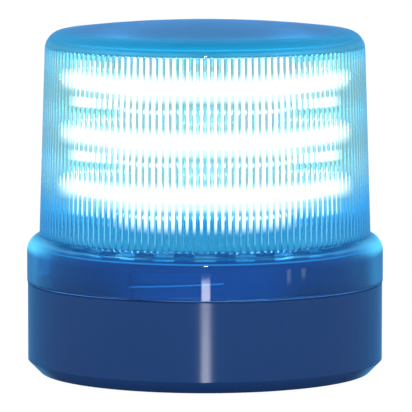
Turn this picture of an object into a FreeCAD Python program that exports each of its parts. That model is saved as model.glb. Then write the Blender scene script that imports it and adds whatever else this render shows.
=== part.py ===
import FreeCAD, Part
import math
import os

import Sketcher

# Flashing beacon: a blue lens dome with an inside fluted wall, locked by a quarter-turn
# bayonet on a round base, with three tiers of light rings on a post inside it.
# Millimetres, +Z up, origin on the axis at the underside of the base, front towards -Y.

# Driving dimensions: name, value (millimetres, degrees or a count), what it is
SIZES = (
    ("collar_diameter", 100.0, "outside of the dome's collar"),
    ("collar_wall", 2.5, "wall of the collar"),
    ("collar_height", 8.6, "straight part of the collar, above its rim"),
    ("shoulder_step", 3.52, "how far the shoulder steps in from collar to dome wall"),
    ("shoulder_height", 4.6, "height of the rounded shoulder"),
    ("shoulder_turn", 66.0, "how far round the shoulder's inside follows its outside"),
    ("dome_draft", 1.8, "lean of the dome wall, degrees"),
    ("dome_height", 56.6, "shoulder top to the crown's edge"),
    ("dome_wall", 2.6, "wall of the dome, to the valleys of the flutes"),
    ("crown_corner", 5.3, "rounding between dome wall and crown"),
    ("inner_corner", 1.2, "rounding inside the crown"),
    ("crown_rise", 3.0, "how far the crown bulges"),
    ("flute_count", 144.0, "upright flutes inside the dome wall"),
    ("flute_depth", 0.34, "valley to crest of a flute"),
    ("flute_core", 0.4, "stock left inside the crests before they are cut"),
    ("flute_relief", 0.15, "how far the smooth wall stands back at the flutes' ends"),
    ("flute_foot", 1.2, "how far the flutes reach below the shoulder's top"),
    ("flute_head", 4.2, "upper end of the flutes to the crown's edge"),
    ("lug_count", 3.0, "bayonet lugs on the dome, and on the ring"),
    ("lug_bearing", -9.5, "first lug's place, degrees to the right of the front"),
    ("dome_lug_angle", 32.0, "length of a dome lug, degrees"),
    ("dome_lug_height", 4.6, "dome lug at its high end"),
    ("dome_lug_ramp", 1.4, "fall of the dome lug's top along its length"),
    ("ring_lug_angle", 30.0, "length of a ring lug, degrees"),
    ("ring_lug_height", 2.2, "height of a ring lug"),
    ("stop_angle", 2.4, "stop beside a ring lug, degrees"),
    ("stop_gap", 0.6, "stop to a locked dome lug, degrees"),
    ("lug_play", 0.25, "upright clearance between locked lugs"),
    ("lug_gap", 0.55, "radial clearance between a lug and the wall it passes"),
    ("lug_channel", 3.9, "collar's inner wall to the neck"),
    ("base_setback", 0.2, "how far the base stands in from the collar"),
    ("base_height", 25.1, "base underside to its top edge"),
    ("base_wall", 3.0, "wall of the base cup"),
    ("floor_thickness", 3.0, "floor of the base cup"),
    ("foot_chamfer", 3.4, "chamfer round the foot"),
    ("flange_thickness", 3.0, "flange of the bayonet ring"),
    ("neck_wall", 2.4, "wall of the bayonet ring's neck"),
    ("neck_height", 12.3, "neck above the base's top edge"),
    ("neck_chamfer", 1.0, "chamfer outside the neck, below its teeth"),
    ("notch_count", 24.0, "notches in the neck's rim"),
    ("notch_width", 5.6, "width of a notch"),
    ("notch_depth", 1.4, "depth of a notch"),
    ("ear_width", 8.0, "inward ears of the bayonet ring"),
    ("ear_margin", 0.8, "ear round its screw post"),
    ("post_bite", 0.3, "deck posts' circle outside the pillars' one: the posts run into the neck"),
    ("ear_first", 30.0, "bearing of the first ear, degrees from +X"),
    ("fit_gap", 0.2, "clearance round a piece in its seat"),
    ("seal_lip", 0.6, "base edge outside the dome seal"),
    ("seal_depth", 0.9, "depth of the dome seal's seat"),
    ("seal_proud", 0.3, "how far the dome seal stands above its seat's edge"),
    ("pad_width", 3.6, "foot pad ring, radially"),
    ("pad_depth", 1.5, "foot pad ring, thickness"),
    ("pad_inset", 5.6, "foot pad's outer edge to the foot's edge"),
    ("entry_diameter", 16.0, "cable entry hole in the floor"),
    ("entry_recess", 2.2, "depth of the recess under the cable entry"),
    ("entry_land", 2.8, "floor thickness at the cable entry"),
    ("grommet_flange", 2.6, "how far the grommet's flanges reach past the hole"),
    ("grommet_thickness", 1.9, "thickness of a grommet flange"),
    ("cable_diameter", 8.0, "bore of the grommet"),
    ("pillar_diameter", 6.6, "screw pillars in the base"),
    ("screw_diameter", 2.9, "shank of the assembly screws"),
    ("bore_gap", 0.08, "screw bores round their screws"),
    ("screw_length", 8.0, "assembly screw under its head"),
    ("head_diameter", 5.6, "head of the assembly screws"),
    ("head_height", 2.2, "height of a screw head"),
    ("fixing_count", 3.0, "fixing holes in the floor"),
    ("fixing_diameter", 5.3, "fixing holes"),
    ("fixing_inset", 5.0, "fixing circle, inside the power board's edge"),
    ("access_diameter", 8.0, "tool holes over the fixing holes"),
    ("board_gap", 0.6, "power board's edge to the ring pillars"),
    ("board_level", 17.0, "underside of the power board"),
    ("board_thickness", 1.6, "all circuit boards"),
    ("board_screw_inset", 4.0, "board screws, inside the board's edge"),
    ("deck_level", 32.2, "underside of the deck"),
    ("deck_thickness", 2.0, "deck"),
    ("window_margin", 1.4, "deck window round the part under it"),
    ("terminal_inset", 12.0, "middle of the terminal block, inside the board's edge"),
    ("terminal_pitch", 5.08, "terminal ways"),
    ("terminal_ways", 3.0, "number of terminal ways"),
    ("terminal_depth", 8.2, "terminal block, front to back"),
    ("terminal_height", 10.0, "terminal block"),
    ("terminal_well", 3.9, "screw wells of the terminal block"),
    ("terminal_mouth", 3.6, "wire mouths of the terminal block"),
    ("switch_inset", 12.0, "middle of the mode switch, inside the board's edge"),
    ("switch_pitch", 2.54, "mode switch ways"),
    ("switch_ways", 4.0, "number of mode switch ways"),
    ("switch_depth", 6.6, "mode switch, front to back"),
    ("switch_height", 3.6, "mode switch body"),
    ("slot_width", 1.3, "slider slot"),
    ("slot_length", 3.4, "slider slot, along its travel"),
    ("slot_depth", 1.4, "slider slot"),
    ("slider_gap", 0.1, "clearance of a slider in its slot"),
    ("slider_length", 1.7, "slider, along its travel"),
    ("slider_proud", 0.7, "slider above the switch body"),
    ("capacitor_diameter", 10.0, "storage capacitor"),
    ("capacitor_height", 12.0, "storage capacitor"),
    ("capacitor_crimp", 0.5, "storage capacitor, depth of its crimp"),
    ("choke_diameter", 11.0, "choke"),
    ("choke_height", 8.0, "choke"),
    ("varistor_diameter", 9.0, "surge varistor"),
    ("varistor_thickness", 3.6, "surge varistor"),
    ("chip_length", 5.0, "driver chip"),
    ("chip_width", 4.0, "driver chip"),
    ("chip_height", 1.7, "driver chip"),
    ("chip_spread", 17.0, "driver chips, either side of the axis"),
    ("part_ring", 20.0, "circle of the parts under the power board"),
    ("header_length", 10.4, "feed header"),
    ("header_width", 2.6, "feed header"),
    ("header_height", 2.6, "feed header"),
    ("header_offset", 6.0, "axis to the feed header"),
    ("pin_pitch", 2.54, "feed pins"),
    ("pin_side", 0.8, "feed pin, square"),
    ("pin_hole", 1.6, "feed pin holes"),
    ("lower_row", 51.5, "middle of the lower light row"),
    ("row_pitch", 14.8, "light rows apart"),
    ("post_diameter", 5.0, "tower bolt"),
    ("post_gap", 0.25, "clearance round the tower bolt"),
    ("hex_size", 8.0, "tower bolt head and nut, across flats"),
    ("hex_height", 3.4, "tower bolt head and nut"),
    ("post_end", 1.2, "tower bolt past its nut"),
    ("spacer_diameter", 20.0, "white spacers of the tower"),
    ("spacer_wall", 1.6, "wall of a spacer"),
    ("tier_diameter", 45.2, "light tier boards"),
    ("led_count", 12.0, "LEDs on a tier"),
    ("led_inset", 2.4, "LEDs' faces, inside the tier board's edge"),
    ("led_depth", 2.0, "LED, radially"),
    ("led_width", 3.6, "LED, along the rim"),
    ("led_height", 3.0, "LED"),
    ("ring_above", 4.2, "light ring above its row of LEDs"),
    ("ring_below", 8.2, "light ring below its row of LEDs"),
    ("ring_wall", 1.2, "light ring's wall"),
    ("belt_height", 3.4, "lens belt round the light ring"),
    ("belt_depth", 1.6, "how far the belt's edges stand out"),
    ("belt_bulge", 0.7, "outward bulge of the belt"),
    ("bead_height", 2.6, "bead round the light ring's lower edge"),
    ("bead_depth", 0.8, "how far the bead stands out"),
    ("ring_lip", 2.0, "light ring's lip on the tier board"),
    ("ring_lip_thickness", 0.9, "light ring's lip"),
    ("ring_gap", 0.3, "light ring round the tier board"),
    ("cap_diameter", 38.0, "tower cap"),
    ("cap_hub", 4.4, "tower cap under its brim"),
    ("cap_brim", 1.0, "tower cap's edge"),
    ("cap_slope", 1.0, "rise of the tower cap's underside"),
    ("cap_top", 1.6, "rise of the tower cap's top"),
)

FRONT = 270.0  # bearing of the front, degrees from +X

doc = FreeCAD.newDocument("beacon")
sheet = doc.addObject("Spreadsheet::Sheet", "Sizes")


class Size:
    """A length, angle or count: its value now, and the sheet expression that gives it."""

    def __init__(self, value, text):
        self.value = value
        self.text = text

    def __add__(self, other):
        other = as_size(other)
        return Size(self.value + other.value, f"({self.text} + {other.text})")

    def __sub__(self, other):
        other = as_size(other)
        return Size(self.value - other.value, f"({self.text} - {other.text})")

    def __mul__(self, other):
        other = as_size(other)
        return Size(self.value * other.value, f"({self.text} * {other.text})")

    def __truediv__(self, other):
        other = as_size(other)
        return Size(self.value / other.value, f"({self.text} / {other.text})")

    def __neg__(self):
        return Size(-self.value, f"(0 - {self.text})")

    def __radd__(self, other):
        return as_size(other) + self

    def __rsub__(self, other):
        return as_size(other) - self

    def __rmul__(self, other):
        return as_size(other) * self


class Sizes:
    """The driving dimensions by name, as the sheet holds them."""


def as_size(number):
    return number if isinstance(number, Size) else Size(float(number), str(float(number)))


def cosine(angle):
    angle = as_size(angle)
    return Size(math.cos(math.radians(angle.value)), f"cos({angle.text})")


def sine(angle):
    angle = as_size(angle)
    return Size(math.sin(math.radians(angle.value)), f"sin({angle.text})")


def tangent(angle):
    angle = as_size(angle)
    return Size(math.tan(math.radians(angle.value)), f"tan({angle.text})")


def fill_sheet():
    """Writes the driving dimensions to the sheet and returns them by name."""
    sizes = Sizes()
    for row, (name, value, what) in enumerate(SIZES, start=1):
        sheet.set(f"A{row}", what)
        sheet.set(f"B{row}", str(value))
        sheet.setAlias(f"B{row}", name)
    doc.recompute()
    for name, _, _ in SIZES:
        setattr(sizes, name, Size(float(sheet.get(name)), f"Sizes.{name}"))
    return sizes


def bind(thing, **values):
    """Binds properties of an object to sheet expressions."""
    for name, value in values.items():
        thing.setExpression(name, as_size(value).text)


def place(thing, x=0.0, y=0.0, z=0.0, turn=0.0):
    """Binds where an object stands, and how far it is turned about Z."""
    thing.setExpression("Placement.Base.x", as_size(x).text)
    thing.setExpression("Placement.Base.y", as_size(y).text)
    thing.setExpression("Placement.Base.z", as_size(z).text)
    thing.setExpression("Placement.Rotation.Angle", as_size(turn).text)
    return thing


def polar(radius, bearing):
    """The x and y of a point at that radius and bearing."""
    return radius * cosine(bearing), radius * sine(bearing)


# Sketches: every point and radius is held by a dimension that is bound to the sheet

def origin_feature(body, role):
    return next(f for f in body.Origin.OriginFeatures if f.Role == role)


def sketch_on(body, name, plane, offset=0.0):
    sketch = body.newObject("Sketcher::SketchObject", name)
    sketch.AttachmentSupport = [(origin_feature(body, plane), "")]
    sketch.MapMode = "FlatFace"
    sketch.setExpression("AttachmentOffset.Base.z", as_size(offset).text)
    return sketch


def dimension(sketch, kind, *where, size):
    index = sketch.addConstraint(Sketcher.Constraint(kind, *where, size.value))
    sketch.setExpression(f"Constraints[{index}]", size.text)


def pin_point(sketch, edge, end, x, y):
    """Holds one end of an edge at x, y."""
    for kind, value, axis in (("DistanceX", x, -2), ("DistanceY", y, -1)):
        value = as_size(value)
        if value.value == 0.0:
            sketch.addConstraint(Sketcher.Constraint("PointOnObject", edge, end, axis))
        else:
            dimension(sketch, kind, -1, 1, edge, end, size=value)


def arc_middle(start, end, radius):
    """A point half-way along the arc; a positive radius turns left on the way."""
    chord = end - start
    half = chord.Length / 2
    sagitta = abs(radius) - math.sqrt(radius * radius - half * half)
    right = FreeCAD.Vector(chord.y, -chord.x, 0).normalize()
    return (start + end) / 2 + right * math.copysign(sagitta, radius)


def outline(sketch, corners):
    """A closed outline. A corner is x, y, or x, y and the radius of the arc that leads on from it."""
    points = [FreeCAD.Vector(as_size(c[0]).value, as_size(c[1]).value, 0) for c in corners]
    first = sketch.GeometryCount
    starts = []
    for i, corner in enumerate(corners):
        start, end = points[i], points[(i + 1) % len(points)]
        if len(corner) == 2:
            sketch.addGeometry(Part.LineSegment(start, end))
            starts.append(1)
            continue
        middle = arc_middle(start, end, corner[2].value)
        leftward = corner[2].value > 0
        ends = (start, middle, end) if leftward else (end, middle, start)
        sketch.addGeometry(Part.Arc(*ends))
        starts.append(1 if leftward else 2)
    for i, corner in enumerate(corners):
        following = (i + 1) % len(corners)
        sketch.addConstraint(Sketcher.Constraint(
            "Coincident", first + i, 3 - starts[i], first + following, starts[following]))
        pin_point(sketch, first + i, starts[i], corner[0], corner[1])
        if len(corner) == 3:
            size = corner[2] if corner[2].value > 0 else -corner[2]
            dimension(sketch, "Radius", first + i, size=size)


def rectangle(sketch, x, y, width, depth):
    """A rectangle about its middle."""
    x, y = as_size(x), as_size(y)
    outline(sketch, [(x - width / 2, y - depth / 2), (x + width / 2, y - depth / 2),
                     (x + width / 2, y + depth / 2), (x - width / 2, y + depth / 2)])


def circle(sketch, x, y, radius):
    centre = FreeCAD.Vector(as_size(x).value, as_size(y).value, 0)
    edge = sketch.addGeometry(Part.Circle(centre, FreeCAD.Vector(0, 0, 1), radius.value))
    pin_point(sketch, edge, 3, x, y)
    dimension(sketch, "Radius", edge, size=radius)


def hexagon(sketch, across_flats):
    corner = across_flats / 2 / cosine(30)
    outline(sketch, [polar(corner, 60 * i) for i in range(6)])


def sector(sketch, inner, outer, middle, angle):
    """A piece of a ring between two radii, about a bearing."""
    low, high = middle - angle / 2, middle + angle / 2
    outline(sketch, [polar(inner, low), (*polar(outer, low), outer),
                     polar(outer, high), (*polar(inner, high), -inner)])


# Features

def new_body(label):
    body = doc.addObject("PartDesign::Body", label)
    body.AllowCompound = True
    return body


def turned(label, corners):
    """A body turned about Z from a half section of radius, height corners."""
    body = new_body(label)
    sketch = sketch_on(body, f"{label}_section", "XZ_Plane")
    outline(sketch, corners)
    turn = body.newObject("PartDesign::Revolution", f"{label}_turn")
    turn.Profile = sketch
    turn.ReferenceAxis = (sketch, ["V_Axis"])
    turn.Angle = 360
    return body


def ring(label, inner, outer, bottom, top):
    return turned(label, [(inner, bottom), (outer, bottom), (outer, top), (inner, top)])


def pad(body, name, bottom, height, draw):
    """Adds what draw draws, upwards from a level."""
    sketch = sketch_on(body, f"{name}_outline", "XY_Plane", bottom)
    draw(sketch)
    feature = body.newObject("PartDesign::Pad", name)
    feature.Profile = sketch
    bind(feature, Length=height)
    return feature


def pocket(body, name, top, depth, draw):
    """Cuts what draw draws, downwards from a level."""
    sketch = sketch_on(body, f"{name}_outline", "XY_Plane", top)
    draw(sketch)
    feature = body.newObject("PartDesign::Pocket", name)
    feature.Profile = sketch
    bind(feature, Length=depth)
    return feature


def pattern(body, features, count):
    """Repeats features evenly round Z."""
    repeat = body.newObject("PartDesign::PolarPattern", f"{features[0].Name}_round")
    repeat.Originals = features
    repeat.Axis = (origin_feature(body, "Z_Axis"), [""])
    repeat.Angle = 360
    bind(repeat, Occurrences=count)
    body.Tip = repeat
    return repeat


def round_edge(body, radius, height, rounding):
    """Rounds the circular edge of that radius at that height."""
    doc.recompute()
    base = body.Tip
    names = [f"Edge{i}" for i, edge in enumerate(base.Shape.Edges, start=1)
             if abs(edge.Length - 2 * math.pi * radius.value) < 1e-3
             and abs(edge.Vertexes[0].Z - height.value) < 1e-4]
    feature = body.newObject("PartDesign::Fillet", f"{body.Name}_round_{len(body.Group)}")
    feature.Base = (base, names)
    bind(feature, Radius=rounding)
    body.Tip = feature
    return feature


s = fill_sheet()

# Levels and radii that several pieces share

collar_radius = s.collar_diameter / 2
collar_inner = collar_radius - s.collar_wall
neck_radius = collar_inner - s.lug_channel
neck_inner = neck_radius - s.neck_wall
base_radius = collar_radius - s.base_setback
cup_inner = base_radius - s.base_wall
rim_level = s.base_height + s.seal_proud
flange_level = s.base_height - s.flange_thickness
neck_level = s.base_height + s.neck_height
ring_pillar_circle = neck_inner - s.pillar_diameter / 2
deck_post_circle = ring_pillar_circle + s.post_bite
board_radius = ring_pillar_circle - s.pillar_diameter / 2 - s.board_gap
board_top = s.board_level + s.board_thickness
board_screw_circle = board_radius - s.board_screw_inset
fixing_circle = board_radius - s.fixing_inset
deck_top = s.deck_level + s.deck_thickness
entry_level = s.entry_recess + s.entry_land
post_hole = s.post_diameter / 2 + s.post_gap
screw_clearance = s.screw_diameter / 2 + s.fit_gap
screw_bore = s.screw_diameter / 2 + s.bore_gap
first_lug = s.lug_bearing + FRONT


# Lens dome

def wall_radius(level):
    """Outside of the leaning dome wall at a level."""
    return collar_radius - s.shoulder_step - (level - shoulder_level) * tangent(s.dome_draft)


def valley_radius(level):
    return wall_radius(level) - s.dome_wall


shoulder_foot = rim_level + s.collar_height
shoulder_level = shoulder_foot + s.shoulder_height
crown_level = shoulder_level + s.dome_height
flutes_from = shoulder_level - s.flute_foot
flutes_to = crown_level - s.flute_head


def arc_over(half_span, rise):
    """Radius of an arc that rises by that much over that half span."""
    return (half_span * half_span + rise * rise) / (rise * 2)


def dome_shell():
    """The dome before its flutes are cut: collar, shoulder, leaning wall and bulged crown."""
    shoulder_arc = arc_over(s.shoulder_height, s.shoulder_step)
    edge = wall_radius(crown_level)
    inner_edge = edge - s.dome_wall
    inner_crown = crown_level - s.dome_wall
    bend = shoulder_arc - s.collar_wall
    bend_radius = collar_inner - bend + bend * cosine(s.shoulder_turn)
    bend_level = shoulder_foot + bend * sine(s.shoulder_turn)
    stock = s.flute_depth + s.flute_core
    relief = s.flute_relief
    body = turned("dome_shell", [
        (collar_radius, rim_level),
        (collar_radius, shoulder_foot, shoulder_arc),
        (wall_radius(shoulder_level), shoulder_level),
        (edge, crown_level, arc_over(edge, s.crown_rise)),
        (0.0, crown_level + s.crown_rise),
        (0.0, inner_crown + s.crown_rise, -arc_over(inner_edge, s.crown_rise)),
        (inner_edge, inner_crown),
        (valley_radius(flutes_to) + relief, flutes_to),
        (valley_radius(flutes_to) - stock, flutes_to),
        (valley_radius(flutes_from) - stock, flutes_from),
        (valley_radius(flutes_from) + relief, flutes_from),
        (bend_radius, bend_level, -bend),
        (collar_inner, shoulder_foot),
        (collar_inner, rim_level),
    ])
    round_edge(body, edge, crown_level, s.crown_corner)
    round_edge(body, inner_edge, inner_crown, s.inner_corner)
    return body


def flute_wire(level):
    """The fluted inside at a level: round crests that point inwards and meet in sharp valleys."""
    count = int(s.flute_count.value)
    step = 2 * math.pi / count
    valley = valley_radius(level).value
    crest = valley - s.flute_depth.value

    def point(radius, angle):
        return FreeCAD.Vector(radius * math.cos(angle), radius * math.sin(angle), level.value)

    arcs = [Part.Arc(point(valley, i * step), point(crest, (i + 0.5) * step), point(valley, (i + 1) * step))
            for i in range(count)]
    return Part.Wire([arc.toShape() for arc in arcs])


def flute_cutter():
    """What is taken out of the dome's stock to leave the flutes."""
    ends = [flute_wire(flutes_from - s.flute_relief), flute_wire(flutes_to + s.flute_relief)]
    cutter = doc.addObject("Part::Feature", "flute_cutter")
    cutter.Shape = Part.makeLoft(ends, True, True)
    return cutter


def dome_lug(number):
    """An inward lug of the collar, its top falling towards the side that goes in first."""
    name = f"dome_lug_{number}"
    blank = doc.addObject("Part::Cylinder", f"{name}_blank")
    bind(blank, Radius=collar_inner + s.collar_wall / 2, Height=s.dome_lug_height, Angle=s.dome_lug_angle)
    bearing = first_lug + as_size(number * 360) / s.lug_count
    place(blank, z=rim_level, turn=bearing - s.dome_lug_angle / 2)
    bore = doc.addObject("Part::Cylinder", f"{name}_bore")
    bind(bore, Radius=neck_radius + s.lug_gap, Height=s.dome_lug_height)
    place(bore, z=rim_level)
    sector_piece = doc.addObject("Part::Cut", f"{name}_sector")
    sector_piece.Base, sector_piece.Tool = blank, bore

    half_length = collar_radius * sine(s.dome_lug_angle / 2)
    ramp = doc.addObject("Part::Box", f"{name}_ramp")
    bind(ramp, Length=half_length * 4, Width=s.collar_diameter, Height=s.dome_lug_height)
    tilt = math.degrees(math.atan2(s.dome_lug_ramp.value, 2 * half_length.value))
    high_end = FreeCAD.Vector(half_length.value, 0, (rim_level + s.dome_lug_height).value)
    to_corner = FreeCAD.Placement(FreeCAD.Vector(-3 * half_length.value, -s.collar_diameter.value, 0),
                                  FreeCAD.Rotation())
    slope = FreeCAD.Placement(high_end, FreeCAD.Rotation(FreeCAD.Vector(0, 1, 0), -tilt))
    swing = FreeCAD.Placement(FreeCAD.Vector(),
                              FreeCAD.Rotation(FreeCAD.Vector(0, 0, 1), bearing.value - FRONT))
    ramp.Placement = swing * slope * to_corner
    lug = doc.addObject("Part::Cut", name)
    lug.Base, lug.Tool = sector_piece, ramp
    return lug


def dome_lens():
    fluted = doc.addObject("Part::Cut", "dome_fluted")
    fluted.Base, fluted.Tool = dome_shell(), flute_cutter()
    lens = doc.addObject("Part::MultiFuse", "dome_lens")
    lens.Shapes = [fluted] + [dome_lug(i) for i in range(int(s.lug_count.value))]
    lens.Refine = False
    return lens


# Base

def base_cup():
    """The base: a chamfered cup with seats for seal, foot pad and cable entry, and screw pillars."""
    entry = s.entry_diameter / 2
    recess = entry + s.grommet_flange + s.fit_gap
    pad_outer = base_radius - s.foot_chamfer - s.pad_inset
    boss = recess + s.floor_thickness
    cup = turned("base_cup", [
        (entry, s.entry_recess),
        (recess, s.entry_recess),
        (recess, 0.0),
        (pad_outer - s.pad_width, 0.0),
        (pad_outer - s.pad_width, s.pad_depth),
        (pad_outer, s.pad_depth),
        (pad_outer, 0.0),
        (base_radius - s.foot_chamfer, 0.0),
        (base_radius, s.foot_chamfer),
        (base_radius, s.base_height),
        (base_radius - s.seal_lip, s.base_height),
        (base_radius - s.seal_lip, s.base_height - s.seal_depth),
        (cup_inner, s.base_height - s.seal_depth),
        (cup_inner, s.floor_thickness),
        (boss, s.floor_thickness),
        (boss, entry_level),
        (entry, entry_level),
    ])
    pillars = pad(cup, "ring_pillar", s.floor_thickness, flange_level - s.floor_thickness,
                  lambda k: circle(k, *polar(ring_pillar_circle, s.ear_first), s.pillar_diameter / 2))
    pattern(cup, [pillars], 3)
    supports = pad(cup, "board_pillar", s.floor_thickness, s.board_level - s.floor_thickness,
                   lambda k: circle(k, *polar(board_screw_circle, s.ear_first * 2), s.pillar_diameter / 2))
    pattern(cup, [supports], 3)
    ring_bite = s.screw_length - s.flange_thickness + s.fit_gap
    ring_bore = pocket(cup, "ring_screw_hole", flange_level, ring_bite,
                       lambda k: circle(k, *polar(ring_pillar_circle, s.ear_first), screw_bore))
    pattern(cup, [ring_bore], 3)
    board_bite = s.screw_length - s.board_thickness + s.fit_gap
    board_bore = pocket(cup, "board_screw_hole", s.board_level, board_bite,
                        lambda k: circle(k, *polar(board_screw_circle, s.ear_first * 2), screw_bore))
    pattern(cup, [board_bore], 3)
    fixing = pocket(cup, "fixing_hole", s.floor_thickness, s.floor_thickness,
                    lambda k: circle(k, fixing_circle, 0.0, s.fixing_diameter / 2))
    pattern(cup, [fixing], s.fixing_count)
    return cup


def bayonet_ring():
    """The ring screwed inside the cup's mouth: flange, notched neck, outward lugs and inward ears."""
    notch_level = neck_level - s.notch_depth
    piece = turned("bayonet_ring", [
        (neck_inner, flange_level),
        (cup_inner - s.fit_gap, flange_level),
        (cup_inner - s.fit_gap, s.base_height),
        (neck_radius, s.base_height),
        (neck_radius, notch_level - s.neck_chamfer),
        (neck_radius - s.neck_chamfer, notch_level),
        (neck_radius - s.neck_chamfer, neck_level),
        (neck_inner, neck_level),
    ])
    lug_level = rim_level + s.dome_lug_height + s.lug_play
    lug = pad(piece, "ring_lug", lug_level, s.ring_lug_height,
              lambda k: sector(k, neck_radius - s.neck_wall / 2, collar_inner - s.lug_gap, first_lug,
                               s.ring_lug_angle))
    stop_bearing = first_lug - (s.dome_lug_angle + s.stop_angle) / 2 - s.stop_gap
    stop = pad(piece, "lug_stop", s.base_height, lug_level + s.ring_lug_height - s.base_height,
               lambda k: sector(k, neck_radius - s.neck_wall / 2, collar_inner - s.lug_gap, stop_bearing,
                                s.stop_angle))
    pattern(piece, [lug, stop], s.lug_count)
    notch = pocket(piece, "rim_notch", neck_level, s.notch_depth,
                   lambda k: rectangle(k, neck_radius, 0.0, s.neck_wall * 3, s.notch_width))
    pattern(piece, [notch], s.notch_count)

    def ear_outline(sketch):
        inner = ring_pillar_circle - s.pillar_diameter / 2 - s.ear_margin
        outer = neck_radius - s.neck_wall / 2
        across = s.ear_width / 2
        corners = ((inner, -across), (outer, -across), (outer, across), (inner, across))
        outline(sketch, [(x * cosine(s.ear_first) - y * sine(s.ear_first),
                          x * sine(s.ear_first) + y * cosine(s.ear_first)) for x, y in corners])

    ear = pad(piece, "ear", flange_level, s.flange_thickness, ear_outline)
    pattern(piece, [ear], 6)
    hole = pocket(piece, "ear_hole", s.base_height, s.flange_thickness,
                  lambda k: circle(k, *polar(ring_pillar_circle, s.ear_first), screw_clearance))
    pattern(piece, [hole], 3)
    post_radius = s.pillar_diameter / 2 - s.fit_gap
    post = pad(piece, "deck_post", s.base_height, s.deck_level - s.base_height,
               lambda k: circle(k, *polar(deck_post_circle, s.ear_first * 3), post_radius))
    pattern(piece, [post], 3)
    bore = pocket(piece, "deck_post_hole", s.deck_level, s.screw_length - s.deck_thickness + s.fit_gap,
                  lambda k: circle(k, *polar(deck_post_circle, s.ear_first * 3), screw_bore))
    pattern(piece, [bore], 3)
    return piece


def dome_seal():
    return ring("dome_seal", collar_inner - s.lug_gap + s.fit_gap, base_radius - s.seal_lip - s.fit_gap,
                s.base_height - s.seal_depth, rim_level)


def foot_pad():
    outer = base_radius - s.foot_chamfer - s.pad_inset
    return ring("foot_pad", outer - s.pad_width + s.fit_gap / 2, outer - s.fit_gap / 2, 0.0, s.pad_depth)


def cable_grommet():
    """A rubber sleeve that buttons into the floor's entry hole."""
    entry = s.entry_diameter / 2
    flange = entry + s.grommet_flange
    bore = s.cable_diameter / 2
    lower = s.entry_recess - s.grommet_thickness
    upper = entry_level + s.grommet_thickness
    return turned("cable_grommet", [
        (bore, lower),
        (flange, lower),
        (flange, s.entry_recess),
        (entry - s.fit_gap / 2, s.entry_recess),
        (entry - s.fit_gap / 2, entry_level),
        (flange - s.grommet_thickness / 2, entry_level),
        (entry - s.fit_gap / 2, upper),
        (bore, upper),
    ])


def screws(label, count, circle_radius, bearing, seat):
    """A set of pan-head screws, heads on a seat, shanks down."""
    body = new_body(label)
    spot = polar(circle_radius, bearing)
    shank = pad(body, f"{label}_shank", seat - s.screw_length, s.screw_length,
                lambda k: circle(k, *spot, s.screw_diameter / 2))
    head = pad(body, f"{label}_head", seat, s.head_height,
               lambda k: circle(k, *spot, s.head_diameter / 2))
    pattern(body, [shank, head], count)
    return body


# Electronics in the base

def power_board():
    """The round board: screw holes, and tool holes over the fixing holes."""
    board = new_body("power_board")
    pad(board, "power_board_disc", s.board_level, s.board_thickness,
        lambda k: circle(k, 0.0, 0.0, board_radius))
    hole = pocket(board, "power_board_hole", board_top, s.board_thickness,
                  lambda k: circle(k, *polar(board_screw_circle, s.ear_first * 2), screw_clearance))
    pattern(board, [hole], 3)
    tool_hole = pocket(board, "power_board_tool_hole", board_top, s.board_thickness,
                       lambda k: circle(k, fixing_circle, 0.0, s.access_diameter / 2))
    pattern(board, [tool_hole], s.fixing_count)
    pocket(board, "power_board_cable_hole", board_top, s.board_thickness,
           lambda k: circle(k, -s.header_offset, 0.0, s.cable_diameter / 2))
    return board


def row_places(count, pitch):
    """Middles of evenly spaced ways about the axis."""
    return [pitch * (i - (count - 1) / 2) for i in range(count)]


terminal_x = row_places(int(s.terminal_ways.value), s.terminal_pitch)
terminal_y = s.terminal_inset - board_radius
terminal_width = s.terminal_pitch * s.terminal_ways
terminal_top = board_top + s.terminal_height


def terminal_block():
    """A screw terminal: a well over each way and a wire mouth in front of it."""
    block = new_body("terminal_block")
    pad(block, "terminal_body", board_top, s.terminal_height,
        lambda k: rectangle(k, 0.0, terminal_y, terminal_width, s.terminal_depth))

    def wells(sketch):
        for x in terminal_x:
            circle(sketch, x, terminal_y, s.terminal_well / 2)

    def mouths(sketch):
        for x in terminal_x:
            rectangle(sketch, x, terminal_y - s.terminal_depth / 4, s.terminal_mouth, s.terminal_depth / 2)

    pocket(block, "terminal_wells", terminal_top, s.terminal_height / 2, wells)
    pocket(block, "terminal_mouths", terminal_top - s.terminal_height / 2, s.terminal_mouth, mouths)
    return block


def terminal_screws():
    body = new_body("terminal_screws")

    def heads(sketch):
        for x in terminal_x:
            circle(sketch, x, terminal_y, s.terminal_well / 2 - s.fit_gap)

    pad(body, "terminal_screw_heads", terminal_top - s.terminal_height / 2, s.head_height, heads)
    return body


def wire_clamps():
    """The metal cages behind the wire mouths."""
    body = new_body("wire_clamps")
    floor = terminal_top - s.terminal_height / 2 - s.terminal_mouth
    depth = s.terminal_depth / 2 - s.fit_gap * 2
    side = s.terminal_mouth - s.fit_gap * 2

    def cages(sketch):
        for x in terminal_x:
            rectangle(sketch, x, terminal_y - s.terminal_depth / 4, side, depth)

    pad(body, "wire_cages", floor, s.terminal_mouth - s.fit_gap, cages)
    sketch = sketch_on(body, "wire_cage_bores", "XZ_Plane")
    for x in terminal_x:
        circle(sketch, x, floor + s.terminal_mouth / 2, side / 3)
    bores = body.newObject("PartDesign::Pocket", "wire_cage_bore")
    bores.Profile = sketch
    bores.Reversed = False
    bores.Midplane = True
    bind(bores, Length=board_radius * 4)
    return body


switch_x = row_places(int(s.switch_ways.value), s.switch_pitch)
switch_y = board_radius - s.switch_inset
switch_width = s.switch_pitch * s.switch_ways + s.slot_width
switch_top = board_top + s.switch_height


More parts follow.
